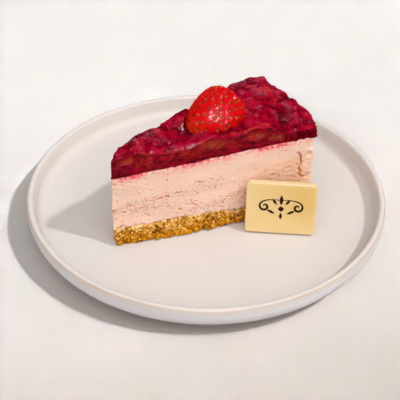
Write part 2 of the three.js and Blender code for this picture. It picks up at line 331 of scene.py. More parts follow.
def joined_copies(
    name: str, template: Piece, centres: Array, sizes: Array, turns: list[Array], tints: Array
) -> Piece:
    """Place many copies of one small mesh and join them into one piece.

    Args:
        name: The new piece's name.
        template: A small piece modelled round the origin, which is removed.
        centres: Rows of places, in metres.
        sizes: Rows of scale factors along the template's own axes.
        turns: A matrix for each copy, which turns rows of points.
        tints: A value from 0 to 1 for each copy, kept as the attribute "tint".

    Returns:
        The joined piece.
    """
    points = read_points(template)
    faces = np.array([list(p.vertices) for p in template.data.polygons])
    placed = [(points * size) @ matrix + centre for centre, size, matrix in zip(centres, sizes, turns)]
    steps = np.arange(len(placed))[:, None, None] * len(points)
    faces = (faces[None] + steps).reshape(-1, faces.shape[1])
    mesh = bpy.data.meshes.new(name)
    mesh.from_pydata(np.concatenate(placed).tolist(), [], faces.tolist())
    mesh.update()
    piece = linked(name, mesh)
    paint(piece, tint=np.repeat(tints, len(points)))
    bpy.data.objects.remove(template)
    shade_smooth(piece)
    return piece


@dataclass(frozen=True)
class SliceFrame:
    """Where the slice stands on the plate."""

    apex: Place = (-61.3, -43.1, 10.3)
    turn_deg: float = 17.95

    @property
    def well_z(self) -> float:
        """Return the height of the plate's well."""
        return self.apex[2]

    def to_world(self, points: Array) -> Array:
        """Turn slice millimetres into the row frame's metres."""
        return (points @ turn(Axis.Z, self.turn_deg) + np.array(self.apex)) * MM

    def to_slice(self, points: Array) -> Array:
        """Turn the row frame's metres into slice millimetres."""
        return self.directions(points / MM - np.array(self.apex))

    def directions(self, normals: Array) -> Array:
        """Turn directions of the row frame into the slice's frame."""
        return normals @ turn(Axis.Z, -self.turn_deg)


SLICE = SliceFrame()


# Finishes.


def linear(colour: str) -> tuple[float, float, float, float]:
    """Turn an sRGB hex colour, such as "#e6dad3", into linear red, green, blue and an alpha of one."""
    shares = [int(colour[i : i + 2], 16) / 255 for i in (1, 3, 5)]
    red, green, blue = (s / 12.92 if s <= 0.04045 else ((s + 0.055) / 1.055) ** 2.4 for s in shares)
    return red, green, blue, 1.0


def add_node(
    tree: bpy.types.NodeTree, kind: str, inputs: dict | None = None, output: str | int = 0, **settings
) -> Socket:
    """Add a shader node with its settings, socket values and links.

    Args:
        tree: The node tree.
        kind: The node's type name, without the "ShaderNode" in front.
        inputs: Socket names or numbers, each with a value, a hex colour or another node's socket.
        output: The output socket that is wanted.
        settings: Properties of the node itself, or "stops", a ramp's positions and hex colours.

    Returns:
        The output socket.
    """
    node = tree.nodes.new("ShaderNode" + kind)
    stops = sorted(settings.pop("stops", {}).items())
    for name, value in settings.items():
        setattr(node, name, value)
    for name, value in (inputs or {}).items():
        if isinstance(value, Socket):
            tree.links.new(value, node.inputs[name])
        else:
            node.inputs[name].default_value = linear(value) if isinstance(value, str) else value
    for _ in stops[2:]:
        node.color_ramp.elements.new(0.5)
    for index, (position, colour) in enumerate(stops):
        node.color_ramp.elements[index].position = position
        node.color_ramp.elements[index].color = linear(colour)
    return node.outputs[output]


class Look:
    """A material in the making, with its shader and the patterns that drive it."""

    def __init__(self, name: str, **sockets) -> None:
        """Make the material.

        Args:
            name: The material's name.
            sockets: Values that are the same all over, by socket name with spaces as underscores.
        """
        self.material = bpy.data.materials.new(name)
        self.material.use_nodes = True
        self.tree = self.material.node_tree
        self.shader = self.tree.nodes["Principled BSDF"]
        for socket, value in sockets.items():
            self.shader.inputs[socket.replace("_", " ")].default_value = value
        self.place = self.node("TexCoord", output="Object")

    def node(self, kind: str, inputs: dict | None = None, output: str | int = 0, **settings) -> Socket:
        """Add a node to this material, as add_node does."""
        return add_node(self.tree, kind, inputs, output, **settings)

    def painted(self, name: str) -> Socket:
        """Return a value that the piece's mesh was painted with."""
        return self.node("Attribute", output="Fac", attribute_name=name)

    def grain(
        self, size_mm: float, detail: float = 2.0, distortion: float = 0.0, flat: float = 1.0
    ) -> Socket:
        """Return noise whose grain has a real size.

        Args:
            size_mm: The grain's width.
            detail: How many finer layers it has.
            distortion: How much it swirls.
            flat: How many times lower than wide it is.

        Returns:
            The noise.
        """
        place = self.place
        if flat != 1:
            place = self.node("Mapping", {"Vector": place, "Scale": (1.0, 1.0, flat)})
        inputs = {"Vector": place, "Scale": 1 / (size_mm * MM), "Detail": detail, "Distortion": distortion}
        return self.node("TexNoise", inputs, "Fac")

    def layer(self, below: Socket | str, above: Socket | str, share: Socket | str) -> Socket:
        """Lay one colour over another.

        Args:
            below: The colour underneath, as a socket or in hex.
            above: The colour on top.
            share: How much of it covers, as a socket or the name of a painted value.

        Returns:
            The colour that shows.
        """
        share = self.painted(share) if isinstance(share, str) else share
        return self.node("Mix", {0: share, 6: below, 7: above}, 2, data_type="RGBA")

    def finish(
        self, colour: Socket, height: Socket | None = None, depth_mm: float = 0.0
    ) -> bpy.types.Material:
        """Give the shader its colour, and raise the surface by a pattern of a real depth."""
        self.tree.links.new(colour, self.shader.inputs["Base Color"])
        if height is not None:
            bump = self.node("Bump", {"Height": height, "Distance": depth_mm * MM, "Strength": 1.0})
            self.tree.links.new(bump, self.shader.inputs["Normal"])
        return self.material


def glow(weight: float, depth_mm: float, *reach: float) -> dict[str, float | Place]:
    """Return the values of a shader that light spreads inside, with each colour's own reach."""
    return {"Subsurface_Weight": weight, "Subsurface_Scale": depth_mm * MM, "Subsurface_Radius": reach}


@dataclass(frozen=True)
class GlazedStoneware:
    """Wheel-thrown stoneware under a thin satin glaze, which breaks brown on sharp edges."""

    name: str = "satin glazed stoneware"
    glaze: str = "#dcd5d0"
    glaze_thin: str = "#d8cfc9"
    glaze_thick: str = "#e2dde0"
    clay: str = "#bf9f86"
    speck: str = "#7d5136"
    speck_spacing_mm: float = 60.0
    speck_share: float = 0.006

    def material(self) -> bpy.types.Material:
        """Return the glaze, with mottling, iron specks, bare edges where "worn" is painted, and a painted
        cool shade colour outside.
        """
        soft = {"Coat_Weight": 0.02, "Coat_Roughness": 0.25, "Specular_IOR_Level": 0.09}
        look = Look(self.name, Roughness=0.42, IOR=1.5, **soft)
        glaze = look.layer(self.glaze, self.glaze_thin, look.grain(14, 4))
        glaze = look.layer(glaze, self.glaze_thick, "thick")
        worn = look.layer(glaze, self.clay, "worn")
        inputs = {"Vector": look.place, "Scale": 1 / (self.speck_spacing_mm * MM)}
        inputs = {0: look.node("TexVoronoi", inputs, "Distance"), 1: self.speck_share}
        speck = look.node("Math", inputs, operation="LESS_THAN")
        return look.finish(look.layer(worn, self.speck, speck), look.grain(2.2, 3), 0.02)


@dataclass(frozen=True)
class BiscuitCrumb:
    """Crushed digestive biscuit bound with butter: matte, golden, darker where butter sank in, with painted
    crevice shade.
    """

    name: str = "buttered biscuit crumb"
    # The darkest colour: crumb wet with butter, and the painted shade between the crumbs.
    soaked: str = "#5c2a00"
    toasted: str = "#b27000"
    buttered: str = "#d08c08"
    golden: str = "#d9a444"
    dry: str = "#f0d4a4"
    smeared: str = "#efc9a8"

    def material(self) -> bpy.types.Material:
        """Return the crumb by its painted "tint", which holds painted crevice shade, and richer where butter
        sank in at "soak".
        """
        soft = glow(0.2, 0.7, 1.0, 0.55, 0.2)
        look = Look(self.name, Roughness=0.55, IOR=1.45, Specular_IOR_Level=0.03, **soft)
        uneven = look.node("Math", {0: look.grain(0.9, 3), 1: 0.5}, operation="SUBTRACT")
        inputs = {0: uneven, 1: 0.8, 2: look.painted("tint")}
        shade = look.node("Math", inputs, operation="MULTIPLY_ADD")
        stops = {0.05: self.soaked, 0.35: self.toasted, 0.62: self.golden, 0.95: self.dry}
        plain = look.node("ValToRGB", {0: shade}, stops=stops)
        stops = {0.05: self.soaked, 0.4: self.toasted, 0.72: self.buttered, 1.0: self.golden}
        colour = look.layer(plain, look.node("ValToRGB", {0: shade}, stops=stops), "soak")
        return look.finish(look.layer(colour, self.smeared, "smear"), look.grain(0.6, 3), 0.4)


@dataclass(frozen=True)
class CheesecakeCream:
    """Set cream cheese whipped with strawberry: pale pink, soft, and matte where it was cut."""

    name: str = "set strawberry cream cheese"
    cream: str = "#f3d3c1"
    rosy: str = "#f0c4af"
    # Colour of the painted warm reflected light, low on the right of the cut.
    warm: str = "#f1be95"
    pore: str = "#e0885a"
    stain: str = "#f47a80"
    juice: str = "#c82038"

    def material(self) -> bpy.types.Material:
        """Return the cream, by its painted warm reflected light, painted shade in its pores, and "bleed",
        where juice stained it.
        """
        soft = glow(0.25, 1.2, 1.0, 0.5, 0.3)
        look = Look(self.name, Roughness=0.6, IOR=1.45, Specular_IOR_Level=0.06, **soft)
        patchy = look.grain(9, 4)
        cream = look.layer(self.cream, self.rosy, patchy)
        # Painted warm reflected light, where "warm" is painted.
        warmth = look.node("Math", {0: look.painted("warm"), 1: patchy}, operation="MULTIPLY")
        cream = look.layer(cream, self.warm, warmth)
        holes = look.grain(1.2, 2.5, flat=1.8)
        specks = look.node("MapRange", {"Value": holes, "From Min": 0.36, "From Max": 0.26, "To Max": 0.35})
        # Painted shade in the pores, and in small specks.
        cream = look.layer(look.layer(cream, self.pore, specks), self.pore, "pore")
        bleed = look.painted("bleed")
        deep = look.node("MapRange", {"Value": bleed, "From Min": 0.9, "From Max": 1.05, "To Max": 0.8})
        stained = look.layer(look.layer(cream, self.stain, bleed), self.juice, deep)
        porous = look.node("Math", {0: holes, 1: look.painted("porous")}, operation="MULTIPLY")
        return look.finish(stained, porous, 0.7)


@dataclass(frozen=True)
class FruitJelly:
    """Strawberries cooked and set in their own juice: dark, wet jelly with paler fruit in it.

    It darkens in hollows, where the jelly lies deep and painted shade is laid. Its cut is duller than
    its top, and shows brick red flesh with pale fibres.
    """

    name: str = "set strawberry compote"
    deep: str = "#420008"
    wine: str = "#740015"
    crimson: str = "#9a0522"
    bright: str = "#a8122e"
    # Colour of the painted lilac sheen.
    bloom: str = "#b65e7a"
    gel: str = "#460002"
    cut_dark: str = "#4a050e"
    cut_wine: str = "#881022"
    flesh: str = "#8c1410"
    pale_flesh: str = "#aa4a2e"
    vein: str = "#ac5038"
    juicy: str = "#a8062a"
    # Colour of paler fruit streaks, and of the painted highlight along the front crest.
    streak: str = "#ba3430"

    def material(self) -> bpy.types.Material:
        """Return the compote, by its painted depth and shade, cut, fruit, veins, juicy spots, streaks, crest
        highlight and sheen.
        """
        soft = glow(0.05, 1.2, 1.0, 0.08, 0.12)
        look = Look(self.name, Roughness=0.34, IOR=1.42, Coat_Roughness=0.08, Specular_IOR_Level=0.0, **soft)
        cut = look.painted("cut")
        wet = look.node("MapRange", {"Value": cut, "To Min": 0.07, "To Max": 0.012})
        look.tree.links.new(wet, look.shader.inputs["Coat Weight"])
        inputs = {0: look.grain(5.5, 4.0, distortion=0.9), 1: 0.7, 2: look.painted("depth")}
        shade = look.node("Math", inputs, operation="MULTIPLY_ADD")
        # Painted shade: the depth ramp darkens hollows and pales swells.
        stops = {0.32: self.deep, 0.52: self.wine, 0.72: self.crimson, 0.95: self.bright}
        # Painted lilac sheen, a reflection laid on as colour.
        jelly = look.layer(look.node("ValToRGB", {0: shade}, stops=stops), self.bloom, "bloom")
        stops = {0.36: self.cut_dark, 0.6: self.cut_wine}
        clear = look.node("ValToRGB", {0: look.grain(4, 4, flat=2.4)}, stops=stops)
        stops = {0.34: self.cut_wine, 0.54: self.flesh, 0.86: self.pale_flesh}
        fruit = look.node("ValToRGB", {0: look.grain(1.8, 4, flat=2.4)}, stops=stops)
        inside = look.layer(clear, fruit, "flesh")
        for value in ("vein", "gel"):
            inside = look.layer(inside, getattr(self, value), value)
        colour = look.layer(jelly, inside, cut)
        for value in ("juicy", "streak"):
            colour = look.layer(colour, getattr(self, value), value)
        return look.finish(colour, look.grain(0.8, 3), 0.36)


@dataclass(frozen=True)
class StrawberrySkin:
    """Ripe strawberry: thin glossy red skin, with painted shade in its pits, paler at the tip, white inside.
    """

    name: str = "ripe strawberry skin"
    ripe: str = "#c40003"
    lit: str = "#da0408"
    tip: str = "#dc3a18"
    pit: str = "#8c0002"
    cut: str = "#f0a08c"

    def material(self) -> bpy.types.Material:
        """Return the skin, less ripe where "tip" is painted, with painted shade in its pits, and cut open
        where "cut" is.
        """
        wet = {"Specular_IOR_Level": 0.0, "Coat_Weight": 0.2, "Coat_Roughness": 0.06}
        look = Look(self.name, Roughness=0.3, IOR=1.42, **wet, **glow(0.12, 2, 1.0, 0.12, 0.08))
        skin = look.layer(self.ripe, self.lit, look.grain(5, 3))
        for value in ("tip", "pit", "cut"):
            skin = look.layer(skin, getattr(self, value), value)
        return look.finish(skin, look.grain(0.6, 2), 0.03)


@dataclass(frozen=True)
class SeedCoat:
    """The dry husk of a strawberry's seed."""

    name: str = "strawberry seed husk"
    dark: str = "#5a2c06"
    middle: str = "#86640e"
    light: str = "#ae8c24"

    def material(self) -> bpy.types.Material:
        """Return the husk, whose shade follows the painted "tint"."""
        look = Look(self.name, Roughness=0.38, IOR=1.5, Specular_IOR_Level=0.015)
        stops = {0.0: self.dark, 0.5: self.middle, 1.0: self.light}
        colour = look.node("ValToRGB", {0: look.painted("tint")}, stops=stops)
        return look.finish(colour, look.grain(0.3, 2), 0.05)


@dataclass(frozen=True)
class SoakedSeed(SeedCoat):
    """A seed that cooked in the juice, dark red with a few left pale."""

    name: str = "seed cooked in juice"
    dark: str = "#34040a"
    middle: str = "#5c0a12"
    light: str = "#9c3c24"


@dataclass(frozen=True)
class WhiteChocolate:
    """Moulded white chocolate: ivory, satin where it touched the mould, waxy in its depth."""

    name: str = "moulded white chocolate"
    ivory: str = "#e4c381"
    cream: str = "#e9ce9b"
    deep: str = "#e0b868"
    # Colour of the painted sheen along the top, and of the paler edges.
    rubbed: str = "#e8cfa4"

    def material(self) -> bpy.types.Material:
        """Return the chocolate, with faint pale mottling, a painted sheen along its top and paler near its
        edges.
        """
        soft = glow(0.35, 2, 1.0, 0.7, 0.35)
        look = Look(self.name, Roughness=0.36, IOR=1.46, Specular_IOR_Level=0.08, **soft)
        colour = look.layer(self.ivory, self.cream, look.grain(7, 4))
        for value in ("deep", "rubbed"):
            colour = look.layer(colour, getattr(self, value), value)
        return look.finish(colour, look.grain(1.4, 3), 0.03)


@dataclass(frozen=True)
class CocoaPrint:
    """Cocoa butter print on chocolate: a thin, dark brown, slightly uneven film."""

    name: str = "cocoa butter print"
    brown: str = "#2a100c"
    thin: str = "#3f1e16"

    def material(self) -> bpy.types.Material:
        """Return the print."""
        look = Look(self.name, Roughness=0.42, IOR=1.46, Specular_IOR_Level=0.03)
        colour = look.layer(self.brown, self.thin, look.grain(1.5, 3))
        return look.finish(colour, look.grain(0.4, 2), 0.02)


@dataclass(frozen=True)
class StudioPaper:
    """A sheet of warm white paper, which the plate stands on."""

    name: str = "warm white paper"
    near: str = "#cfc4bc"
    front: str = "#dcd2ca"
    middle: str = "#e8e0d9"
    pale: str = "#efe9e4"
    far: str = "#f5f1ec"
    fade_mm: float = 330.0
    fade_turn_deg: float = -16.0

    def material(self) -> bpy.types.Material:
        """Return the paper, with painted light falloff: darker towards the front, a little warmer there, on
        the side of the light.
        """
        look = Look(self.name, Roughness=0.8, Specular_IOR_Level=0.05)
        turned, scale = (0, 0, math.radians(self.fade_turn_deg)), (1 / (self.fade_mm * MM),) * 3
        across = look.node("Mapping", {"Vector": look.place, "Rotation": turned, "Scale": scale})
        along = look.node("SeparateXYZ", {"Vector": across}, "Y")
        # Painted light falloff across the paper, darker towards the front.
        fade = look.node("MapRange", {"Value": along, "From Min": -0.8, "From Max": 0.5})
        stops = {0.0: self.near, 0.26: self.front, 0.4: self.middle, 0.66: self.pale, 1.0: self.far}
        return look.finish(look.node("ValToRGB", {0: fade}, stops=stops))


Food = BiscuitCrumb | CheesecakeCream | FruitJelly | StrawberrySkin | SeedCoat | WhiteChocolate | CocoaPrint


def dress(piece: Piece, finish: GlazedStoneware | Food, slot: str, *nodes: str) -> None:
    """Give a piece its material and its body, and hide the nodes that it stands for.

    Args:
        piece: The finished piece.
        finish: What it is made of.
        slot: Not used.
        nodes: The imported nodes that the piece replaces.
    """
    piece.data.materials.clear()
    piece.data.materials.append(finish.material())
    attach(piece, "root")
    if nodes:
        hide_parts(*nodes)
    log.info("%s: %d points", piece.name, len(piece.data.vertices))


# Pieces.


@dataclass
class Plate:
    """A coupe plate with a flat well, a low upright rim and a foot ring."""

    radius: float = 105.0
    height: float = 21.0
    well_depth: float = 11.0
    rim_thickness: float = 4.0
    wall_slope: float = 1.5
    well_fillet: float = 6.0
    outer_corner: float = 11.5
    underside: float = 5.0
    foot_radius: float = 70.0
    foot_width: float = 5.0
    recess: float = 3.4
    segments: int = 192
    worn_at_deg: float = 38.0
    worn_spread_deg: float = 20.0
    glaze_line: float = 9.9
    crease_deg: float = 50.0

    def _arc(self, centre: Flat, radius: float, start: float, end: float, steps: int) -> list[Flat]:
        """Return points of a round stretch of the section, between two angles in degrees."""
        angles = np.radians(np.linspace(start, end, steps + 1))
        return [(centre[0] + radius * math.cos(a), centre[1] + radius * math.sin(a)) for a in angles]

    def _section(self) -> list[Flat]:
        """Return the section as radius and height, from the underside round to the well."""
        crest = self.rim_thickness / 2
        well = self.height - self.well_depth
        wall_foot = self.radius - self.rim_thickness - self.wall_slope
        ring_in, ring_out = self.foot_radius - self.foot_width, self.foot_radius
        points = [(20.0, self.recess), (ring_in - 2, self.recess), (ring_in - 0.6, self.recess - 0.4)]
        points += [(ring_in + 0.3, 0.6), (ring_in + 1, 0.0), (ring_out - 1, 0.0), (ring_out - 0.1, 0.7)]
        points += [(ring_out + 0.6, self.underside - 1.4), (ring_out + 2, self.underside - 0.7)]
        corner = (self.radius - self.outer_corner, self.underside + self.outer_corner)
        points += self._arc(corner, self.outer_corner, -90, 0, 14)
        points += self._arc((self.radius - crest, self.height - crest), crest, 0, 180, 14)
        fillet = (wall_foot - self.well_fillet, well + self.well_fillet)
        points += self._arc(fillet, self.well_fillet, 0, -90, 12)
        return points + [(reach, well) for reach in (88.0, 70.0, 40.0, 12.0, 1.0)]

    def _dress(self, piece: Piece) -> None:
        """Paint where the glaze is thin, on the rim's outer shoulder, and a cooler shade colour down its
        shaded outside.
        """
        points = read_points(piece) / MM
        z, reach = points[:, 2], np.hypot(points[:, 0], points[:, 1])
        crest = self.rim_thickness / 2
        angle = np.degrees(np.arctan2(z - self.height + crest, reach - self.radius + crest))
        on_shoulder = (reach > self.radius - 2.6) & (z > 15)
        line = on_shoulder * np.exp(-(((angle - self.worn_at_deg) / self.worn_spread_deg) ** 2))
        foot = (z < 0.4).astype(float)
        patchy = 0.75 + 0.25 * Noise(3).layered(points, 9.0)
        outside = (reach > self.radius - 3) | (z < self.glaze_line)
        # Painted shade colour: a cooler tint down the outside, which lies in shade.
        thick = outside * smoothstep(self.height - 2, self.height - 6, z)
        paint(piece, worn=np.clip(line * patchy * 0.9 + foot, 0, 1), thick=thick)
        dress(piece, GlazedStoneware(), "stoneware", "plate")

    def make(self) -> None:
        """Extrude the section ring by ring, close it and dress it."""
        section = self._section()
        first, height = section[0]
        activate()
        place = (0, 0, height * MM)
        bpy.ops.mesh.primitive_circle_add(
            vertices=self.segments, radius=first * MM, fill_type="NGON", location=place
        )
        piece = named("stoneware_plate")
        settle(piece)
        radius = first
        with editing(piece, Part.EDGE):
            for next_radius, next_height in section[1:]:
                if radius == first:
                    bpy.ops.mesh.extrude_edges_indiv()
                else:
                    bpy.ops.mesh.extrude_edges_move()
                factor = next_radius / radius
                bpy.ops.transform.resize(value=(factor, factor, 1), center_override=(0, 0, 0))
                bpy.ops.transform.translate(value=(0, 0, (next_height - height) * MM))
                radius, height = next_radius, next_height
            bpy.ops.mesh.edge_face_add()
            bpy.ops.mesh.select_all(action="SELECT")
            bpy.ops.mesh.remove_doubles(threshold=0.01 * MM)
            bpy.ops.mesh.normals_make_consistent(inside=False)
        self._dress(piece)
        shade_smooth(piece, self.crease_deg)


def random_turn(random: np.random.Generator) -> Array:
    """Return a matrix that turns a copy in a random way."""
    angles = random.uniform(0, 360, 3)
    return turn(Axis.X, angles[0]) @ turn(Axis.Y, angles[1]) @ turn(Axis.Z, angles[2])


@dataclass
class CrumbBase:
    """The biscuit base: crumbs of many sizes, pressed and fused into one craggy layer."""

    height: float = 10.0
    sampling: float = 0.9
    voxel: float = 0.36
    crumbs: int = 2300
    smallest: float = 0.4
    largest: float = 2.0
    rarity: float = 3.2
    lumpiness: float = 0.2
    core_inset: float = 0.75
    seed: int = 12
    top_x: tuple[float, ...] = (9, 25, 34, 43, 52, 61, 70, 79, 88, 130)
    top_z: tuple[float, ...] = (11.2, 11.8, 10.8, 11.0, 11.8, 11.0, 10.8, 9.6, 9.8, 10.0)

    def top_at(self, x: Array) -> Array:
        """Return the height at which the crumb ends and the cream begins, along the slice."""
        return np.interp(x, self.top_x, self.top_z)

    def _grain(self) -> Piece:
        """Model one crumb: a small ball with a lumpy, broken surface."""
        activate()
        bpy.ops.mesh.primitive_ico_sphere_add(subdivisions=2, radius=1)
        grain = bpy.context.object
        with editing(grain):
            bpy.ops.transform.vertex_random(offset=self.lumpiness, seed=self.seed)
        return grain

    def _crumbs(self, core: Piece) -> tuple[Piece, Array, Array, Array]:
        """Bed crumbs in the sides of the core, the largest least often.

        Args:
            core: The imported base's shape.

        Returns:
            The crumbs as one piece, and their places, sizes and shades.
        """
        random = np.random.default_rng(self.seed)
        normals, local = point_normals(core), SLICE.to_slice(read_points(core))
        side = np.flatnonzero((np.abs(normals[:, 2]) < 0.8) & (local[:, 2] < self.height + 0.5))
        picked = random.choice(side, self.crumbs)
        size = self.smallest + (self.largest - self.smallest) * random.random(self.crumbs) ** self.rarity
        out = random.uniform(-0.6, 0.3, self.crumbs) * size - 0.3
        centres = local[picked] + SLICE.directions(normals[picked]) * out[:, None]
        centres += random.normal(0, 0.3, (self.crumbs, 3))
        lift = self.top_at(centres[:, 0]) - self.height + 1.8 * Noise(49).layered(centres, 5.0) - 0.2
        centres[:, 2] += np.where(centres[:, 2] > self.height - 2.5, lift, 0)
        centres[:, 2] = np.clip(centres[:, 2], size * 0.9, 99)
        powdery = 0.16 * smoothstep(5, 10.5, centres[:, 2])
        uneven = 0.36 * (random.random(self.crumbs) - 0.5)
        shades = 0.44 + powdery + uneven + 0.24 * Noise(45).layered(centres, 7.0)
        sizes = size[:, None] * random.uniform(0.72, 1.12, (self.crumbs, 3)) * MM
        turns = [random_turn(random) for _ in range(self.crumbs)]
        piece = joined_copies("crumbs", self._grain(), SLICE.to_world(centres), sizes, turns, shades)
        return piece, centres, size, shades

    def _shades(self, points: Array, centres: Array, size: Array, shades: Array) -> Array:
        """Return each point's shade: its nearest crumb's own, with painted shade between the crumbs, darker
        low down.
        """
        finder = KDTree(len(centres))
        for index, centre in enumerate(centres):
            finder.insert(Vector(centre), index)
        finder.balance()
        tint = np.empty(len(points))
        for index, point in enumerate(points):
            found = min(finder.find_n(Vector(point), 3), key=lambda near: near[2] / size[near[1]])
            away = found[2] / size[found[1]]
            # Painted shade: darker the further a point lies from its crumb's middle.
            tint[index] = shades[found[1]] + 0.1 - 0.26 * min(max(away - 0.6, 0), 1.4)
        return tint - smoothstep(3.0, 0.3, points[:, 2]) * 0.1

    def _fuse(self, core: Piece, crumbs: Piece) -> None:
        """Draw the core's sides in and join the crumbs to it, under one even skin."""
        normals = point_normals(core)
        side = smoothstep(0.4, 0.8, 1 - np.abs(normals[:, 2]))
        write_points(core, read_points(core) - normals * (self.core_inset * side * MM)[:, None])
        activate(core)
        crumbs.select_set(True)
        bpy.ops.object.join()
        core.data.attributes.remove(core.data.attributes["tint"])
        remesh(core, self.voxel, 0.4, 1)

    def make(self, node: Piece) -> None:
        """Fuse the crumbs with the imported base, roughen and dress them.

        Args:
            node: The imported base.
        """
        core = cad_copy(node, "biscuit_base")
        remesh(core, self.sampling)
        crumbs, centres, size, shades = self._crumbs(core)
        self._fuse(core, crumbs)
        points, normals = SLICE.to_slice(read_points(core)), point_normals(core)
        x, _, z = points.T
        side = smoothstep(0.3, 0.7, 1 - np.abs(normals[:, 2])) + (z > self.height + 0.3)
        shift = np.stack([Noise(n).smooth(points, 1.6) for n in (39, 40, 41)], axis=1)
        near, _ = Noise(38).cells(points + 0.4 * shift, 1.3)
        rough = 0.3 * Noise(46).layered(points, 0.9, 2) + 0.8 * Noise(44).layered(points, 4.5)
        rough = rough + 0.5 * (0.5 - near)
        rough += 1.9 * smoothstep(5, 0.5, z) * Noise(50).layered(points, (5, 5, 3), 2)
        tint = self._shades(points, centres, size, shades) + 0.2 * Noise(47).layered(points, 0.9, 2)
        # Painted shade along the borders of the fine grains.
        tint += 0.2 - 0.3 * smoothstep(0.3, 0.75, near)
        reach = smoothstep(-2.6, -0.2, z - self.top_at(x) + 1.6 * Noise(42).layered(points, 2.6))
        smear = 0.75 * reach * smoothstep(-0.1, 0.35, Noise(43).layered(points, 1.8))
        soak = smoothstep(7.5, 1.5, z + 2.4 * Noise(48).layered(points, 4.0))
        paint(core, smear=smear, soak=soak, tint=np.clip(tint, 0, 1))
        points += SLICE.directions(normals) * (rough * np.clip(side, 0, 1))[:, None]
        points[:, 2] = np.maximum(points[:, 2], 0.0)
        write_points(core, SLICE.to_world(points))
        shade_smooth(core)
        merge_hidden(core, -0.2, 0.05)
        merge_hidden(core, self.height - 0.3, self.height + 0.3)
        dress(core, BiscuitCrumb(), "biscuit_crumb", "crumb_base")


@dataclass(frozen=True)
class Trace:
    """A line drawn on a face, through places that are given in two of the slice's axes."""

    line: tuple[Flat, ...]
    depth: float = 0.8
    width: float = 0.55
    spread: float = 3.0
    axes: tuple[int, int] = (0, 2)

    def distance(self, points: Array) -> Array:
        """Return how far each point is from the line, as seen on the face."""
        flat = points[:, list(self.axes)]
        nearest = np.full(len(points), 99.0)
        for start, end in itertools.pairwise(self.line):
            first, step = np.array(start), np.array(end) - np.array(start)
            share = np.clip((flat - first) @ step / (step @ step), 0, 1)
            nearest = np.minimum(nearest, np.linalg.norm(flat - first - share[:, None] * step, axis=1))
        return nearest


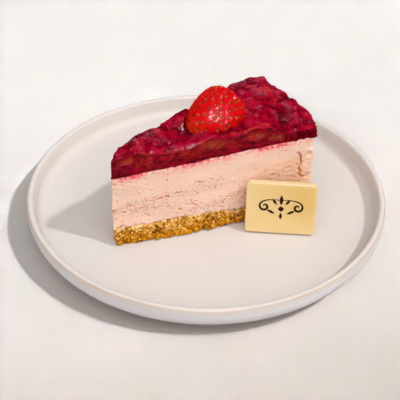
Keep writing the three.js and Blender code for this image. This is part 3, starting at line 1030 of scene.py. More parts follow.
@dataclass
class Filling:
    """The cream layer: flat cuts with pores and tears that the knife dragged along them."""

    base: CrumbBase
    bottom: float = 10.3
    top_at_tip: float = 44.2
    rise: float = 0.056
    tip: float = 10.0
    voxel: float = 0.4
    softening: int = 3
    porous_at: float = 0.32
    porous_spread: float = 0.3
    bleed_depth: float = 2.8
    tears: tuple[Trace, ...] = (
        Trace(((9, 23.2), (17, 24.4), (24, 24.8), (31.5, 26), (40, 26.2), (46.6, 27.7), (52.4, 28.5))),
        Trace(((12, 20.5), (22, 21.2), (30, 21.5)), 0.5, 0.4, 2.5),
        Trace(((37, 19.8), (43, 18.6), (49.5, 15.5)), 0.8, 0.5, 3.6),
        Trace(((70, 15.4), (77.6, 14.4), (85, 14.6)), 0.8, 0.5),
        Trace(((60, 33), (67.6, 33), (72, 30.8)), 0.6),
        Trace(((54.8, 21.7), (59, 17)), 0.7, 0.5, 2.4),
        Trace(((54.8, 14), (63.8, 13.6), (74, 13.6)), 0.7, 0.5, 2.2),
        Trace(((76, 19), (84, 19.6), (92, 20.5)), 0.5, 0.4, 3.0),
        Trace(((12, 37.2), (23.2, 36.8)), 0.3, 0.4, 3.0),
        Trace(
            ((119, 41.5), (120.6, 38.6), (120.1, 36.4), (121.2, 33.6), (120.2, 30.5), (120.9, 27.6)),
            depth=1.5,
            width=0.56,
            spread=1.8,
        ),
        Trace(((119.2, 27.4), (120.8, 26.0), (121.9, 24.4), (125.4, 23.2)), 1.3, 0.46, 1.8),
        Trace(((103, 29.1), (111.3, 32.4), (118.5, 33.8)), 0.35, 0.5, 2.6),
        Trace(((104, 24.0), (116, 25.8)), 0.4, 0.5, 2.6),
    )

    def top_at(self, x: Array) -> Array:
        """Return the height of the layer's top, along the slice."""
        return self.top_at_tip + self.rise * (x - self.tip)

    def _pores(self, points: Array) -> tuple[Array, Array]:
        """Return the depth of the pores and tears, in millimetres, and how open the cream is."""
        x, y, z = points.T
        share = np.clip((z - self.bottom) / (self.top_at(x) - self.bottom), 0, 1)
        low = np.exp(-(((share - self.porous_at) / self.porous_spread) ** 2)) * smoothstep(0.0, 0.12, share)
        jagged = points + 0.9 * Noise(52).shifts(points, 4.5) + 0.5 * Noise(66).shifts(points, 1.7, 2)
        opened = np.clip(0.48 * low + 0.32 * Noise(51).layered(points, (13, 13, 6)), 0.03, 1)
        ripped = np.zeros(len(points))
        is_front = smoothstep(6, 3, y)
        gaps = smoothstep(-0.08, 0.24, Noise(56).layered(points, (2.6, 2.6, 1.8)))
        for tear in self.tears:
            away = tear.distance(jagged)
            opened += is_front * 0.62 * np.exp(-((away / tear.spread) ** 2))
            whole = np.maximum(gaps, float(tear.depth > 1))
            edge = smoothstep(tear.width * 1.6, 0.1, away)
            ripped = np.maximum(ripped, is_front * whole * tear.depth * edge)
        hidden = np.abs(Noise(55).smooth(jagged, (9, 9, 2.6)))
        ripped += (1 - is_front) * gaps * 0.7 * smoothstep(0.09, 0.0, hidden) * low
        wide, own = Noise(57).cells(jagged, (2.0, 2.0, 1.1))
        pits = smoothstep(0.52, 0.15, wide) * (own > 1 - 0.55 * opened)
        small, small_own = Noise(58).cells(points, (1.15, 1.15, 0.8))
        pinholes = smoothstep(0.45, 0.15, small) * (small_own > 0.95 - 0.5 * opened)
        return 0.7 * pits + 0.45 * pinholes + ripped, np.clip(opened, 0, 1)

    def _smear(self, points: Array) -> Array:
        """Return how far the knife left the cream standing proud, in millimetres."""
        x, y, z = points.T
        waves = 0.14 * Noise(63).layered(points, (14, 14, 4))
        waves += 0.13 * Noise(64).layered(points, (2.4, 2.4, 1.4))
        dragged = smoothstep(84, 100, x) * smoothstep(40, 32, z)
        ridges = 0.4 * (0.4 - np.abs(Noise(65).layered(points, (7, 7, 2.2), 2))) * dragged
        bulging = 1.2 * Noise(59).layered(points, 3.0) + 1.2 * Noise(69).layered(points, (9, 9, 6))
        return waves + ridges + smoothstep(122, 128, np.hypot(x, y)) * bulging

    def _foot(self, points: Array) -> Array:
        """Return how far the lower edge moves up or down, to sink unevenly into the crumb."""
        line = self.base.top_at(points[:, 0]) - self.base.height - 0.6
        near = smoothstep(self.bottom + 3.2, self.bottom, points[:, 2])
        return near * (line + 3.2 * Noise(60).layered(points, 5.0) + 1.4 * Noise(70).layered(points, 1.6, 2))

    def make(self, node: Piece) -> None:
        """Carve and dress the cream.

        Args:
            node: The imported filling.
        """
        piece = cad_copy(node, "cream_filling")
        remesh(piece, self.voxel, 0.5, self.softening)
        points, normals = SLICE.to_slice(read_points(piece)), point_normals(piece)
        x, _, z = points.T
        side = smoothstep(0.5, 0.85, 1 - np.abs(normals[:, 2]))
        pores, opened = self._pores(points)
        pores = pores * side
        moved = SLICE.directions(normals) * ((self._smear(points) - pores) * side)[:, None]
        moved[:, 2] += self._foot(points) * side
        write_points(piece, SLICE.to_world(points + moved))
        below = self.top_at(x) - z
        patches = 0.75 * Noise(61).layered(points, (11, 11, 8))
        patches += Noise(62).layered(points, (1.3, 1.3, 1.0))
        bleed = np.exp(-np.clip(below - 0.2, 0, 99) / self.bleed_depth) * (0.85 + patches)
        paint(
            piece,
            bleed=smoothstep(0.05, 1.0, bleed),
            # Painted shade in the pores and tears.
            pore=np.clip(pores * 1.6 - 0.25, 0, 1) * 0.9,
            porous=0.3 + 0.9 * opened,
            # Painted warm reflected light, low on the right of the cut.
            warm=smoothstep(70, 118, x) * smoothstep(44, 34, z),
        )
        shade_smooth(piece)
        merge_hidden(piece, self.top_at_tip - 1.5, 55)
        merge_hidden(piece, self.bottom - 1.0, self.bottom + 0.6)
        dress(piece, CheesecakeCream(), "cheesecake_filling", "filling")


@dataclass(frozen=True)
class FruitPiece:
    """A lump, hollow or piece of fruit: its middle, half sizes, turn about Z and height."""

    x: float
    y: float
    z: float
    long: float
    wide: float
    high: float
    turn_deg: float = 0.0
    rise: float = 1.0

    def share(self, points: Array, soft: float = 0.6) -> Array:
        """Return 1 in the middle of the piece, fading to 0 outside it."""
        away = (points - np.array([self.x, self.y, self.z])) @ turn(Axis.Z, -self.turn_deg)
        distance = np.linalg.norm(away / np.array([self.long, self.wide, self.high]), axis=1)
        return smoothstep(1.25, soft, distance)


@dataclass(frozen=True)
class FruitPieces:
    """Several pieces of fruit, each given by a row of a FruitPiece's sizes."""

    rows: tuple[tuple[float, ...], ...]

    def share(self, points: Array, soft: float = 0.6) -> Array:
        """Return the sum of the pieces' shares, each times its height."""
        pieces = [FruitPiece(*row) for row in self.rows]
        return sum(piece.rise * piece.share(points, soft) for piece in pieces)


@dataclass
class Compote:
    """The jelly layer: wet, lumpy on top, with cut fruit in its sides and seeds all over."""

    voxel: float = 0.36
    softening: int = 9
    bottom: float = 44.2
    rise: float = 0.056
    tip: float = 10.0
    wear: float = 1.8
    seeds: int = 90
    seed: int = 8
    cut_fruit: FruitPieces = FruitPieces(
        (
            (18, 0, 55, 7, 3, 2.6), (29, 0, 50.5, 6, 4, 4.2), (42, 0, 53, 4, 3, 2.2),
            (55, 0, 52.6, 7, 4, 3.2), (68, 0, 57, 9, 5, 4.2), (80, 0, 54.5, 5, 3, 2.4),
            (93, 0, 58, 8, 4, 3.2), (105, 0, 53.4, 6, 4, 2.6), (116, 0, 55, 4.5, 3, 2.4),
        )
    )
    pale_fruit: FruitPieces = FruitPieces(
        (
            (68, 0, 56.5, 8, 5, 3.6), (93, 0, 57.5, 6, 4, 2.6), (105, 0, 54.5, 5, 4, 2.4),
            (18, 0, 55, 5, 4, 2.0),
        )
    )
    top_fruit: FruitPieces = FruitPieces(
        (
            (34.5, 0, 58.5, 3, 1.2, 2), (24, 6, 59, 1.2, 0.8, 3, 30), (90, 1, 62, 7, 1.2, 3, 10),
            (98, 3, 62, 4, 1.2, 4, -20), (112, 33, 64, 7.5, 3.4, 4, -18), (104, 41, 64, 5, 1.2, 4, 20),
        )
    )
    seedy: FruitPieces = FruitPieces(
        (
            (30, 8, 60, 10, 5, 8, 12), (114, 6, 60, 11, 7, 8, 15), (122, 18, 60, 7, 9, 8, 60),
            (48, 18, 60, 9, 5, 8, 30), (104, 46, 62, 9, 5, 8, 10),
        )
    )
    forms: FruitPieces = FruitPieces(
        (
            (99, 50, 60, 7, 5, 6, 25, 1.8), (106, 50.5, 62, 4, 3, 6, 0, 1.6),
            (116.5, 47, 61, 3, 6, 6, -18, -1.3), (124, 23, 61, 3, 6, 6, 0, 1.2),
            (126.5, 5.7, 60, 4, 4, 6, 0, -0.8), (34, 12, 61, 8, 5, 6, 12, -2.7),
            (93, 44, 62, 5, 4, 6, 25, 1.6), (105.3, 34.4, 62, 4, 3, 6, 0, -1.0),
            (115.2, 8.9, 62, 4, 2.6, 6, 0, -1.2), (112.4, 33, 62, 6, 3, 6, -18, 0.7),
            (106, 2, 60, 6, 3.5, 6, 10, 0.7), (83, 5, 61, 8, 3, 6, 8, 0.7), (52, 25, 60, 7, 5, 6, 28, 0.9),
            (60, 27, 61, 9, 5, 6, 25, 2.2), (14, 2, 58, 3, 4, 4, 0, 0.9), (37, 20, 59, 9, 6, 7, 12, -2.6),
            (80, 10.5, 60, 9, 2.6, 6, 12, -1.1), (20, 10, 60, 7, 4, 6, 12, -1.3),
            (118, 40, 61, 4, 12, 6, -18, -1.0), (17, -1, 60, 5, 3, 4, 0, 0.5),
        )
    )
    # Where a lilac sheen is painted on the top, as a reflection.
    films: FruitPieces = FruitPieces(
        (
            (106.8, 42, 62, 6, 2.6, 6, 20), (97, 43, 62, 9, 5, 6, 25), (98.3, 16.5, 62, 7, 2.6, 6, 30),
            (118.5, 37, 61, 3, 12, 6, -18), (104, 49, 61, 9, 4, 6, 20), (90, 30, 62, 7, 3, 6, 35),
        )
    )
    # Thin lines: a curl of paler fruit, then painted highlight along the front crest.
    curls: tuple[Trace, ...] = (
        Trace(((109.5, 18), (110.5, 21), (114.5, 26)), 0.9, 0.5, axes=(0, 1)),
        Trace(((76.9, 0), (82, 0.6), (86.9, 1.4)), 0.9, 0.6, axes=(0, 1)),
        Trace(((14, 0.2), (24, 0.4), (33, 0.3)), 0.6, 0.5, axes=(0, 1)),
        Trace(((38, 0.4), (50, 0.6), (63, 0.4)), 0.45, 0.5, axes=(0, 1)),
        Trace(((66, 0.5), (73, 1.6), (82, 2.2), (97, 1.2)), 0.8, 0.6, axes=(0, 1)),
    )
    hollow_line: Trace = Trace(((117, 42.5), (120, 36), (123.3, 28)), axes=(0, 1))

    def _foot(self, points: Array) -> Array:
        """Return the height of the layer's underside."""
        return self.bottom + self.rise * (points[:, 0] - self.tip)

    def _broad(self, points: Array) -> Array:
        """Return the wide forms of the top, with the worn outer edge, in millimetres."""
        x, y, z = points.T
        worn = smoothstep(113, 123, np.hypot(x, y)) * smoothstep(8, 22, y) * smoothstep(50, 56, z)
        return self.forms.share(points, 0.1) - self.wear * worn * smoothstep(58, 44, y)

    def _lumpy(self, points: Array) -> Array:
        """Return where the top is thick with seeds."""
        return np.clip(self.seedy.share(points), 0, 1)

    def _relief(self, points: Array, face: dict[Face, Array]) -> Array:
        """Return how far each point is raised, in millimetres."""
        x, y, z = points.T
        rolling = 0.6 * Noise(71).layered(points, 9, 2)
        bent = points + 0.8 * Noise(86).shifts(points, 3.0, 2)
        folded = 1.7 * (np.hypot(Noise(72).layered(bent, 7, 2), 0.05) - 0.3)
        crinkled = 0.8 * (np.hypot(Noise(74).layered(bent, 3.2, 2), 0.04) - 0.28)
        near, _ = Noise(73).cells(points + 0.3 * (bent - points), 1.3)
        granular = self._lumpy(points) * 0.8 * (0.5 - near)
        fine = 0.32 * Noise(75).layered(points, 1.1, 2)
        groove = 0.4 * smoothstep(1.1, 0.2, self.hollow_line.distance(bent))
        top = rolling + folded + crinkled + granular + fine - groove
        outside = smoothstep(119, 127, np.hypot(x, y))
        ragged = outside * (0.9 * Noise(80).layered(points, 2.8) + 0.3 * Noise(89).layered(points, 1.3, 2))
        lip = smoothstep(110, 118, x) * smoothstep(4, 0.5, z - self._foot(points))
        ragged = ragged + lip * (0.5 + 0.4 * Noise(102).layered(points, 2.4))
        cut = 0.22 * Noise(76).layered(points, 4.0) + 0.2 * Noise(77).layered(points, 1.4, 2) + ragged
        cut += self._smeared(points) * (crinkled + 0.5 * folded + 0.8 * (0.5 - near))
        return face[Face.TOP] * top + face[Face.SIDE] * cut + self._broad(points) * (1 - face[Face.UNDER])

    def _smeared(self, points: Array) -> Array:
        """Return where the jelly ran over the cut, by the outer corner."""
        return smoothstep(108, 118, points[:, 0] + 3 * Noise(101).layered(points, 3.0))

    def _sag(self, points: Array) -> Array:
        """Return how far the lower edge hangs down over the cream, most at the outer corner."""
        edge = smoothstep(2.5, 0.2, points[:, 2] - self._foot(points))
        corner = smoothstep(108, 116, points[:, 0])
        return edge * (0.25 + 0.9 * corner + (0.3 + 0.6 * corner) * Noise(103).layered(points, 2.6))

    def _drop(self, points: Array) -> Array:
        """Return how far the upper edge of the cut has slumped, near the outer corner."""
        x, y, z = points.T
        near = smoothstep(102, 110, x) * smoothstep(9, 0, y) * smoothstep(52, 60, z)
        return near * (0.6 + 3.2 * Noise(104).layered(points, (3.8, 3.8, 9.0), 2))

    def _flesh(self, points: Array) -> Array:
        """Return how much fruit shows in the cut at each point, from 0 for clear jelly."""
        hidden = 0.9 * smoothstep(0.1, 0.45, Noise(78).layered(points, (8, 8, 5)))
        shown = np.where(points[:, 1] < 4, self.cut_fruit.share(points), hidden)
        ragged = 0.8 * Noise(79).layered(points, (4, 4, 2.2))
        return smoothstep(0.15, 1.1, shown * (1 + ragged) + 0.3 * ragged)

    def _veins(self, points: Array) -> Array:
        """Return where a pale fibre shows in the cut, rising slightly towards the outside."""
        slanted = points @ turn(Axis.Y, 24) + 0.7 * Noise(91).shifts(points, 3.5)
        lines = np.abs(Noise(90).smooth(slanted, (7, 7, 1.5)))
        patchy = smoothstep(0.0, 0.5, Noise(94).layered(points, (6, 6, 3)))
        pale = self.pale_fruit.share(points, 0.2) * (points[:, 1] < 4)
        pale *= 0.6 + 1.0 * Noise(106).layered(slanted, (3.0, 3.0, 1.5))
        return np.clip(0.6 * smoothstep(0.11, 0.0, lines) * patchy + 0.55 * pale, 0, 0.8)

    def _juicy(self, points: Array, face: dict[Face, Array]) -> Array:
        """Return where the jelly is clear and bright: along the layer's foot and in spots."""
        foot = smoothstep(1.0, 0.2, points[:, 2] - self._foot(points)) * (1 - 0.7 * self._smeared(points))
        spots = smoothstep(0.32, 0.6, Noise(95).layered(points, (5, 5, 3)))
        crest = smoothstep(0.2, 0.5, Noise(96).layered(points, (6, 4, 4))) * smoothstep(9, 2, points[:, 1])
        return np.clip(face[Face.SIDE] * (0.8 * foot + 0.7 * spots) + 0.55 * face[Face.TOP] * crest, 0, 1)

    def _streaks(self, points: Array, face: dict[Face, Array]) -> Array:
        """Return where paler fruit breaks through the top, in patches and thin lines, with a painted
        highlight along the front crest.
        """
        ragged = Noise(83).layered(points, (2.6, 2.6, 2.0))
        shown = self.top_fruit.share(points) * (1 + 1.2 * ragged)
        patches = face[Face.TOP] * smoothstep(0.3, 1.4, shown) * 0.6
        bent = points + 0.7 * Noise(97).shifts(points, 3.0)
        broken = smoothstep(-0.3, 0.35, Noise(84).layered(points, 3.5))
        # Painted highlight along the front crest, and a curl of paler fruit.
        lines = sum(t.depth * smoothstep(t.width * 1.8, 0.2, t.distance(bent)) for t in self.curls)
        return np.clip(patches + 0.62 * lines * broken * (points[:, 2] > 53) * (1 - face[Face.UNDER]), 0, 0.9)

    def _bloom(self, points: Array, face: dict[Face, Array]) -> Array:
        """Return where a lilac sheen is painted on the top, standing in for a reflection."""
        film = 0.4 * smoothstep(0.05, 0.6, Noise(100).layered(points, 4)) * smoothstep(2, 8, points[:, 1])
        patches = self.films.share(points, 0.0) * (0.6 + 2.4 * Noise(105).layered(points, 2.4))
        return face[Face.TOP] * np.clip(film + 0.5 * patches, 0, 0.52)

    def _depth(self, points: Array, face: dict[Face, Array], swollen: Array) -> Array:
        """Return how pale the jelly is: darker in hollows, partly from its depth and partly painted shade.

        Args:
            points: Where the points are, in the slice's frame.
            face: How much each belongs to the top, a side or the underside.
            swollen: How far each is raised above the wide forms.

        Returns:
            The shade of each.
        """
        x, y, _ = points.T
        # Darker in hollows and paler on swells: partly the jelly's depth, partly painted shade.
        shade = 0.355 - 0.03 * self._lumpy(points) + 0.37 * np.clip(swollen, -1.1, 1.0)
        corner = smoothstep(105, 112, x) * smoothstep(18, 9, y) * face[Face.TOP]
        side = 0.32 * self._smeared(points) * face[Face.SIDE]
        # Painted shade towards the tip; darker clear jelly where it ran over the cut, and in the corner.
        return shade - side - 0.06 * corner - 0.09 * smoothstep(44, 18, x)

    def _seeds(self, body: Piece) -> Piece:
        """Press seeds into the top, thickest on the seedy lumps."""
        random = np.random.default_rng(self.seed)
        points, normals = read_points(body), point_normals(body)
        weight = (normals[:, 2] > 0.35) * (0.25 + 1.6 * self._lumpy(SLICE.to_slice(points)))
        picked = random.choice(len(points), self.seeds, p=weight / weight.sum(), replace=False)
        size = random.uniform(0.75, 1.1, self.seeds)[:, None] * np.array([[0.52, 0.36, 0.26]]) * MM
        turns = []
        for normal in normals[picked]:
            up = Vector(normal).to_track_quat("Z", "Y").to_matrix()
            turns.append(turn(Axis.Z, random.uniform(0, 360)) @ np.array(up).T)
        tints = random.uniform(0, 1, self.seeds) ** 1.5
        return joined_copies("compote_seeds", seed_template(), points[picked], size, turns, tints)

    def make(self, node: Piece) -> None:
        """Make and dress the jelly and its seeds.

        Args:
            node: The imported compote.
        """
        piece = cad_copy(node, "strawberry_compote")
        remesh(piece, self.voxel, 0.5, self.softening)
        points, normals = SLICE.to_slice(read_points(piece)), point_normals(piece)
        top, under = (smoothstep(0.25, 0.7, sign * normals[:, 2]) for sign in (1, -1))
        face = {Face.TOP: top, Face.UNDER: under, Face.SIDE: 1 - top - under}
        raised = self._relief(points, face)
        swollen = raised - self._broad(points)
        smeared = self._smeared(points)
        paint(
            piece,
            flesh=self._flesh(points),
            vein=self._veins(points),
            juicy=self._juicy(points, face),
            streak=self._streaks(points, face),
            # Painted lilac sheen, most on the swells.
            bloom=self._bloom(points, face) * (0.35 + 0.65 * smoothstep(-0.4, 0.5, swollen)),
            cut=face[Face.SIDE] * (1 - 0.45 * smeared),
            # Depth, with painted shade in the hollows and towards the tip.
            depth=self._depth(points, face, swollen),
            gel=smeared * np.clip(0.72 + 0.9 * Noise(107).layered(points, 2.2), 0, 1),
        )
        moved = SLICE.directions(normals) * raised[:, None]
        moved[:, 2] -= self._sag(points) * face[Face.SIDE] + self._drop(points)
        write_points(piece, SLICE.to_world(points + moved))
        shade_smooth(piece)
        seeds = self._seeds(piece)
        merge_hidden(piece, self.bottom - 1.5, self.bottom + 7.5)
        dress(piece, FruitJelly(), "compote", "compote")
        dress(seeds, SoakedSeed(), "compote")


def seed_template() -> Piece:
    """Model one seed: a flat teardrop of unit half length, pointed towards +X."""
    activate()
    bpy.ops.mesh.primitive_uv_sphere_add(segments=8, ring_count=6, radius=1, rotation=(0, math.pi / 2, 0))
    seed = bpy.context.object
    settle(seed)
    apply_modifier(seed, "TRIANGULATE")
    points = read_points(seed)
    points[:, 1:] *= (1 - 0.35 * smoothstep(-0.2, 1, points[:, 0]))[:, None]
    write_points(seed, points)
    return seed


@dataclass
class Strawberry:
    """Half a strawberry, cut side down, quilted round its seeds."""

    length: float = 31.1
    width: float = 30.6
    end: float = 0.64
    flattening: float = 0.96
    place: Place = (72.7, 19.9, 59.9)
    turn_deg: float = 29.3
    pitch_deg: float = -6.5
    fullness: float = 0.47
    shoulder: float = 0.74
    hollow_depth: float = 1.6
    hollow_radius: float = 4.5
    around: int = 380
    along: int = 270
    seeds: int = 156
    seed: int = 4
    seed_half_sizes: Place = (0.62, 0.4, 0.34)
    seed_lift: float = 0.48
    lowest_seed: float = 0.7
    ridge_sharpness: float = 3.6
    ring_radius: float = 1.95
    ring_depth: float = 1.0
    puff: float = 0.25
    crease_deg: float = 60.0

    def _radius(self, t: Array) -> Array:
        """Return the berry's radius from its tip at 0 to its stalk end at 1."""
        return self.width / 2 * np.sin(math.pi * self.end * np.clip(t, 0, 1)) ** self.fullness

    def _hollow(self, reach: Array) -> Array:
        """Return how deep the stalk's hollow is, at distances from its middle."""
        return self.hollow_depth * np.exp(-((reach / self.hollow_radius) ** 2))

    def _turned(self, points: Array) -> Array:
        """Turn berry millimetres into the slice's directions."""
        return points @ turn(Axis.Y, self.pitch_deg) @ turn(Axis.Z, self.turn_deg)

    def _to_world(self, points: Array) -> Array:
        """Turn berry millimetres into the row frame's metres."""
        return SLICE.to_world(self._turned(points) + np.array(self.place))

    def _seed_places(self) -> Array:
        """Return the seeds' places, wound evenly round the berry and a little off."""
        random = np.random.default_rng(self.seed)
        count = np.arange(self.seeds)
        t = 0.02 + 0.95 * ((count + 0.5) / self.seeds) ** 0.78
        t += random.normal(0, 0.011, self.seeds)
        angle = count * GOLDEN_ANGLE + random.normal(0, 0.07, self.seeds)
        radius = self._radius(t)
        x = (t - 0.5) * self.length
        return np.stack([x, radius * np.cos(angle), radius * np.sin(angle) * self.flattening], axis=1)

    def _ball(self) -> Piece:
        """Shape a ball into the whole berry, its tip towards -X and its stalk end cut flat."""
        activate()
        bpy.ops.mesh.primitive_uv_sphere_add(
            segments=self.around, ring_count=self.along, radius=1, rotation=(0, math.pi / 2, 0)
        )
        piece = named("half_strawberry")
        settle(piece)
        points = read_points(piece)
        share = np.arccos(np.clip(-points[:, 0], -1, 1)) / math.pi
        t = 1 - np.cos(math.pi / 2 * np.clip(share / self.shoulder, 0, 1))
        inward = np.clip((share - self.shoulder) / (1 - self.shoulder), 0, 1)
        radius = self._radius(t) * (1 - inward) ** 0.9 * (1 - 0.12 * np.exp(-((1 - t) / 0.05)))
        x = (t - 0.5) * self.length - self._hollow(radius) * (inward > 0)
        y, z = (points[:, 1:] / np.maximum(np.linalg.norm(points[:, 1:], axis=1), 1e-9)[:, None]).T
        write_points(piece, np.stack([x, radius * y, radius * z * self.flattening], axis=1))
        return piece

    def _lumps(self, points: Array) -> Array:
        """Return how far the skin swells out of its even shape."""
        return 0.35 * Noise(81).smooth(points, 10.0) + 0.12 * Noise(85).smooth(points, 3.0)

    def _quilt(self, piece: Piece, seeds: Array) -> None:
        """Sink a dimple round each seed, puff up the skin between them, and paint shade in the dimples."""
        points, normals = read_points(piece), point_normals(piece)
        crowd = np.full(len(points), 1e-9)
        for place in seeds:
            crowd += np.exp(-self.ridge_sharpness * np.linalg.norm(points - place, axis=1))
        nearest = -np.log(crowd) / self.ridge_sharpness
        skin = smoothstep(self.length / 2 - 0.3, self.length / 2 - 1.5, points[:, 0])
        across = np.clip(nearest / self.ring_radius, 0, 1.4)
        dimple = self.ring_depth / 2 * (1 + np.cos(math.pi * across)) - self.puff
        write_points(piece, points + normals * (skin * (self._lumps(points) - dimple))[:, None])
        # Painted shade in the dimples round the seeds.
        paint(piece, pit=0.75 * smoothstep(1.5, 0.5, nearest))

    def make(self) -> tuple[Piece, Piece]:
        """Make and dress the half berry and its seeds, and return both."""
        piece, places = self._ball(), self._seed_places()
        self._quilt(piece, places)
        with editing(piece):
            bpy.ops.mesh.bisect(plane_co=(0, 0, 0), plane_no=(0, 0, 1), use_fill=True, clear_inner=True)
        points = read_points(piece)
        t, reach = points[:, 0] / self.length + 0.5, np.hypot(points[:, 1], points[:, 2])
        tip = 0.5 * smoothstep(0.2, 0.0, t + 0.04 * Noise(82).smooth(points, 4.0))
        ends = smoothstep(0.985, 1.0, t + self._hollow(reach) / self.length)
        ends *= smoothstep(12.6, 8, reach) * (0.86 + 0.3 * Noise(83).layered(points, 2.2))
        paint(piece, tip=tip, cut=np.clip(np.maximum(ends, (points[:, 2] < 0.02) * 0.25), 0, 1) * 0.8)
        write_points(piece, self._to_world(points))
        shade_smooth(piece, self.crease_deg)
        seeds = self._place_seeds(places[places[:, 2] > self.lowest_seed])
        dress(piece, StrawberrySkin(), "strawberry", "strawberry")
        dress(seeds, SeedCoat(), "strawberry")
        return piece, seeds

    def _place_seeds(self, places: Array) -> Piece:
        """Lay a seed in each dimple, pointing towards the berry's tip."""
        random = np.random.default_rng(self.seed)
        turns, sunk = [], []
        tipward = Vector((-1, 0, 0))
        depths = self.ring_depth - self.seed_lift - self._lumps(places)
        for (x, y, z), depth in zip(places, depths):
            out = Vector((0.0, y, z / self.flattening)).normalized()
            t = x / self.length + 0.5
            behind, ahead = (float(self._radius(np.array(t + step))) for step in (0.02, -0.02))
            slope = (behind - ahead) / (0.04 * self.length)
            normal = (out - Vector((slope, 0, 0))).normalized()
            along = (tipward - normal * tipward.dot(normal)).normalized()
            local = self._turned(np.array([along, normal.cross(along), normal]))
            turns.append(local @ turn(Axis.Z, SLICE.turn_deg))
            sunk.append(np.array([x, y, z]) - np.array(normal) * depth)
        size = random.uniform(0.88, 1.12, len(places))[:, None] * np.array([self.seed_half_sizes]) * MM
        tints = random.uniform(0.15, 0.95, len(places))
        centres = self._to_world(np.array(sunk))
        return joined_copies("strawberry_seeds", seed_template(), centres, size, turns, tints)


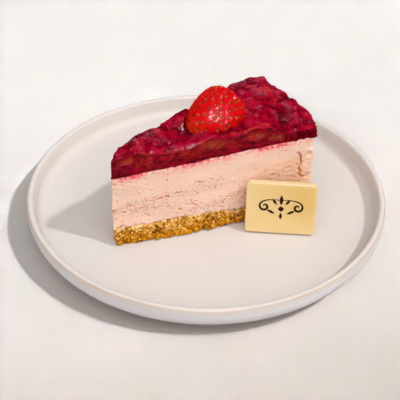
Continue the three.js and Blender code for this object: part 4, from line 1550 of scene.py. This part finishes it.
@dataclass
class Plaque:
    """A moulded chocolate plaque with a printed ornament, leaning back on its lower edge."""

    width: float = 40.0
    height: float = 31.6
    thickness: float = 4.5
    corner: float = 2.6
    edge: float = 0.7
    place: Place = (42.4, -24.9, 10.3)
    turn_deg: float = -4.1
    lean_deg: float = -11.0
    print_thickness: float = 0.08
    voxel: float = 0.4
    softening: int = 2
    crease_deg: float = 40.0
    scroll_middle: Flat = (9.4, 1.2)
    scroll_turns: float = 1.15
    scroll_size: float = 3.0
    scroll_tail: float = 7.5

    def _to_world(self, points: Array) -> Array:
        """Lean, turn and place points in millimetres, upright with the front towards -Y."""
        turned = points @ turn(Axis.X, self.lean_deg) @ turn(Axis.Z, self.turn_deg)
        return (turned + np.array(self.place)) * MM

    def _body(self) -> Piece:
        """Model the plaque from a block with rounded corners and softened edges."""
        activate()
        bpy.ops.mesh.primitive_cube_add(size=1, location=(0, -self.thickness / 2 * MM, self.height / 2 * MM))
        piece = named("chocolate_bar_plaque")
        piece.scale = (self.width * MM, self.thickness * MM, self.height * MM)
        settle(piece)
        depths = [[piece.data.vertices[i].co.y for i in edge.vertices] for edge in piece.data.edges]
        with editing(piece, Part.EDGE, np.ptp(depths, axis=1) > 1 * MM):
            bpy.ops.mesh.bevel(offset=self.corner * MM, segments=8, affect="EDGES")
        sharp = {"limit_method": "ANGLE", "angle_limit": math.radians(60)}
        apply_modifier(piece, "BEVEL", width=self.edge * MM, segments=6, **sharp)
        remesh(piece, self.voxel, 0.5, self.softening)
        return piece

    def _scroll(self, side: int) -> tuple[Array, Array]:
        """Draw one scroll that uncurls into a tail, as places in the face and half widths."""
        t = np.linspace(0, 1, 60)
        angle = 2 * math.pi * self.scroll_turns * t
        radius = self.scroll_size * (0.18 + 0.82 * t)
        curl = np.stack([radius * np.cos(angle), radius * np.sin(angle)], axis=1)
        away = np.linspace(0, 1, 24)[1:, None]
        heading = np.gradient(curl, axis=0)[-1]
        heading /= np.linalg.norm(heading)
        bend = np.array([-1.0, -0.55]) * away**2 * self.scroll_tail * 0.9
        sweep = curl[-1] + heading * away * self.scroll_tail + bend
        line = (np.concatenate([curl, sweep]) + np.array(self.scroll_middle)) * np.array([side, 1])
        share = np.linspace(0, 1, len(line))
        return line, 0.16 + 0.52 * np.sin(math.pi * share**0.8) ** 1.2

    def _petal(self, x: float, z: float, angle_deg: float, long: float, wide: float) -> tuple[Array, Array]:
        """Draw one leaf of the ornament, as places in the face and half widths.

        Args:
            x: Where its foot is, from the ornament's middle to the right.
            z: The same, upwards.
            angle_deg: Where it points, from the right upwards.
            long: Its length.
            wide: Half its width.

        Returns:
            Places along it, and half its width at each.
        """
        share = np.linspace(0, 1, 18)
        direction = np.array([math.cos(math.radians(angle_deg)), math.sin(math.radians(angle_deg))])
        line = np.array([x, z]) + share[:, None] * long * direction
        return line, 0.03 + wide * np.sin(math.pi * share) ** 0.9

    def _ornament(self) -> Piece:
        """Lay a plain symmetrical ornament of scrolls and leaves on the front, as flat ribbons."""
        strokes = []
        for side in (-1, 1):
            strokes.append(self._scroll(side))
            strokes.append(self._petal(side * 3.4, -3.2, 90 - side * 62, 5.2, 0.75))
            strokes.append(self._petal(side * 2.4, 2.6, 90 - side * 38, 4.4, 0.7))
        strokes.append(self._petal(0, 2.4, 90, 6.2, 1.0))
        strokes.append(self._petal(0, -2.4, -90, 4.2, 0.8))
        strokes.append(self._petal(-1.7, 0, 0, 3.4, 1.5))
        points, faces = [], []
        for line, widths in strokes:
            ahead = np.gradient(line, axis=0)
            ahead /= np.linalg.norm(ahead, axis=1)[:, None]
            across = np.stack([-ahead[:, 1], ahead[:, 0]], axis=1) * widths[:, None]
            first = len(points) + 2 * np.arange(len(line) - 1)
            faces += np.stack([first, first + 1, first + 3, first + 2], axis=1).tolist()
            points += np.stack([line + across, line - across], axis=1).reshape(-1, 2).tolist()
        mesh = bpy.data.meshes.new("printed_ornament")
        y, middle = -self.thickness - 0.01, self.height / 2
        mesh.from_pydata([(x * MM, y * MM, (z + middle) * MM) for x, z in points], [], faces)
        piece = linked("printed_ornament", mesh)
        with editing(piece):
            bpy.ops.mesh.normals_make_consistent(inside=False)
        apply_modifier(piece, "SOLIDIFY", thickness=self.print_thickness * MM, offset=0)
        return piece

    def make(self) -> None:
        """Make and dress the plaque and its print."""
        body, ornament = self._body(), self._ornament()
        points = read_points(body) / MM
        x, _, z = points.T
        upper = smoothstep(self.height - 2.4, self.height - 0.2, z)
        inside = np.minimum(self.width / 2 - np.abs(x), z)
        rightwards = smoothstep(-0.5, 0.35, x / self.width) * smoothstep(0.05, 0.7, z / self.height)
        deep = rightwards * (0.75 + 0.5 * Noise(34).layered(points, 12.0))
        # Painted sheen along the top edge, and a paler tone near the side and lower edges.
        paint(body, deep=deep, rubbed=np.maximum(0.8 * upper, 0.5 * smoothstep(2.2, 0.2, inside)))
        for piece in (body, ornament):
            write_points(piece, self._to_world(read_points(piece) / MM))
        shade_smooth(body, self.crease_deg)
        dress(body, WhiteChocolate(), "white_chocolate", "chocolate_plaque")
        dress(ornament, CocoaPrint(), "white_chocolate")


@dataclass
class Studio:
    """Paper floor, one hard key light from the right, pale surroundings, and the camera."""

    floor_half: float = 3000.0
    key_direction: Place = (0.715, -0.245, 1.0)
    key_strength: float = 1.34
    key_angle_deg: float = 3.2
    paper_key_strength: float = 0.95
    fill_direction: Place = (0.05, -0.7, 0.7)
    fill_strength: float = 1.43
    fill_angle_deg: float = 70.0
    gloss_direction: Place = (0.05, -0.6, 0.8)
    gloss_strength: float = 18.0
    gloss_angle_deg: float = 8.0
    berry_box_direction: Place = (0.3, -0.62, 0.7)
    berry_box_strength: float = 16.0
    berry_box_angle_deg: float = 13.0
    sky_colour: str = "#ffffff"
    sky_strength: float = 0.495
    mirrored_ceiling: float = 0.05
    mirrored_front: float = 0.05
    mirrored_backdrop: float = 0.55
    camera_place: Place = (-3.554, -495.188, 391.779)
    camera_right: Place = (0.99986566, 0.00997548, 0.0130062)
    camera_up: Place = (-0.0163912, 0.6085056, 0.79338027)
    focal_length: float = 94.5
    film_width: float = 36.0

    def _floor(self) -> Piece:
        """Lay the paper."""
        activate()
        bpy.ops.mesh.primitive_plane_add(size=2 * self.floor_half * MM)
        floor = named("paper_floor")
        floor.data.materials.append(StudioPaper().material())
        return floor

    def _light(self, name: str, direction: Place, strength: float, angle_deg: float) -> Piece:
        """Set a light that shines evenly on everything from one direction.

        Args:
            name: The light's name.
            direction: From the object towards the light.
            strength: Its strength in watts per square metre.
            angle_deg: How wide it looks, which softens its shadows.

        Returns:
            The light's object.
        """
        lamp = bpy.data.lights.new(name, "SUN")
        lamp.energy, lamp.angle = strength, math.radians(angle_deg)
        light = linked(name, lamp)
        light.rotation_euler = Vector(direction).to_track_quat("Z", "Y").to_euler()
        return light

    def _aim(self, light: Piece, reach: Reach, *pieces: Piece) -> None:
        """Let a light shine on some pieces alone, or on all others."""
        receivers = bpy.data.collections.new(light.name + "_receivers")
        for piece in pieces:
            receivers.objects.link(piece)
        for entry in receivers.collection_objects:
            entry.light_linking.link_state = reach.value
        light.light_linking.receiver_collection = receivers

    def _surroundings(self) -> None:
        """Set a pale room, which gloss mirrors as a bright backdrop under a dark ceiling."""
        world = bpy.data.worlds.new("pale_surroundings")
        world.use_nodes = True
        tree = world.node_tree
        direction = add_node(tree, "TexCoord", output="Generated")
        y, z = (add_node(tree, "SeparateXYZ", {"Vector": direction}, axis) for axis in "YZ")
        inputs = {"Value": y, "From Min": -0.2, "From Max": 0.5}
        inputs |= {"To Min": self.mirrored_front, "To Max": self.mirrored_backdrop}
        low = add_node(tree, "MapRange", inputs)
        inputs = {"Value": z, "From Min": 0.1, "From Max": 0.36}
        inputs |= {"To Min": low, "To Max": self.mirrored_ceiling}
        mirrored = add_node(tree, "MapRange", inputs, interpolation_type="SMOOTHSTEP")
        glossy = add_node(tree, "LightPath", output="Is Glossy Ray")
        inputs = {"Value": glossy, "To Min": self.sky_strength, "To Max": mirrored}
        background = tree.nodes["Background"]
        background.inputs["Color"].default_value = linear(self.sky_colour)
        tree.links.new(add_node(tree, "MapRange", inputs), background.inputs["Strength"])
        bpy.context.scene.world = world

    def _lights(self, floor: Piece) -> None:
        """Set the lights: the paper gets more of the key light, and none of the front fill."""
        self._light("key_light", self.key_direction, self.key_strength, self.key_angle_deg)
        for_paper = self._light("paper_key", self.key_direction, self.paper_key_strength, self.key_angle_deg)
        fill = self._light("front_fill", self.fill_direction, self.fill_strength, self.fill_angle_deg)
        fill.visible_glossy = False
        self._aim(for_paper, Reach.ONLY, floor)
        self._aim(fill, Reach.ALL_BUT, floor)
        self._surroundings()

    def light_gloss(self, berry: Piece, seeds: Piece) -> None:
        """Set the soft boxes that gloss mirrors, one of them for the berry's wet skin alone.

        Args:
            berry: The half berry.
            seeds: Its seeds, which mirror neither box.
        """
        box = self._light("gloss_box", self.gloss_direction, self.gloss_strength, self.gloss_angle_deg)
        direction, angle_deg = self.berry_box_direction, self.berry_box_angle_deg
        berry_box = self._light("berry_box", direction, self.berry_box_strength, angle_deg)
        box.visible_diffuse = berry_box.visible_diffuse = False
        self._aim(box, Reach.ALL_BUT, bpy.data.objects["paper_floor"], berry, seeds)
        self._aim(berry_box, Reach.ONLY, berry)

    def _camera(self) -> None:
        """Set the camera where the photo was taken from."""
        lens = bpy.data.cameras.new("photo_camera")
        lens.lens, lens.sensor_width, lens.clip_start = self.focal_length, self.film_width, 0.01
        camera = linked("photo_camera", lens)
        right, up = Vector(self.camera_right), Vector(self.camera_up)
        matrix = Matrix((right, up, right.cross(up))).transposed().to_4x4()
        matrix.translation = Vector(self.camera_place) * MM
        camera.matrix_world = matrix
        bpy.context.scene.camera = camera

    def make(self) -> None:
        """Set up everything round the object."""
        self._lights(self._floor())
        self._camera()
        bpy.context.scene.view_settings.view_transform = "Standard"


def main() -> None:
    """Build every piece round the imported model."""
    logging.basicConfig(level=logging.INFO, format="%(name)s: %(message)s")
    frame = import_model()
    nodes = frame["nodes"]
    studio = Studio()
    studio.make()
    Plate().make()
    base = CrumbBase()
    base.make(nodes["crumb_base"])
    Filling(base).make(nodes["filling"])
    Compote().make(nodes["compote"])
    studio.light_gloss(*Strawberry().make())
    Plaque().make()


if __name__ == "__main__":
    main()
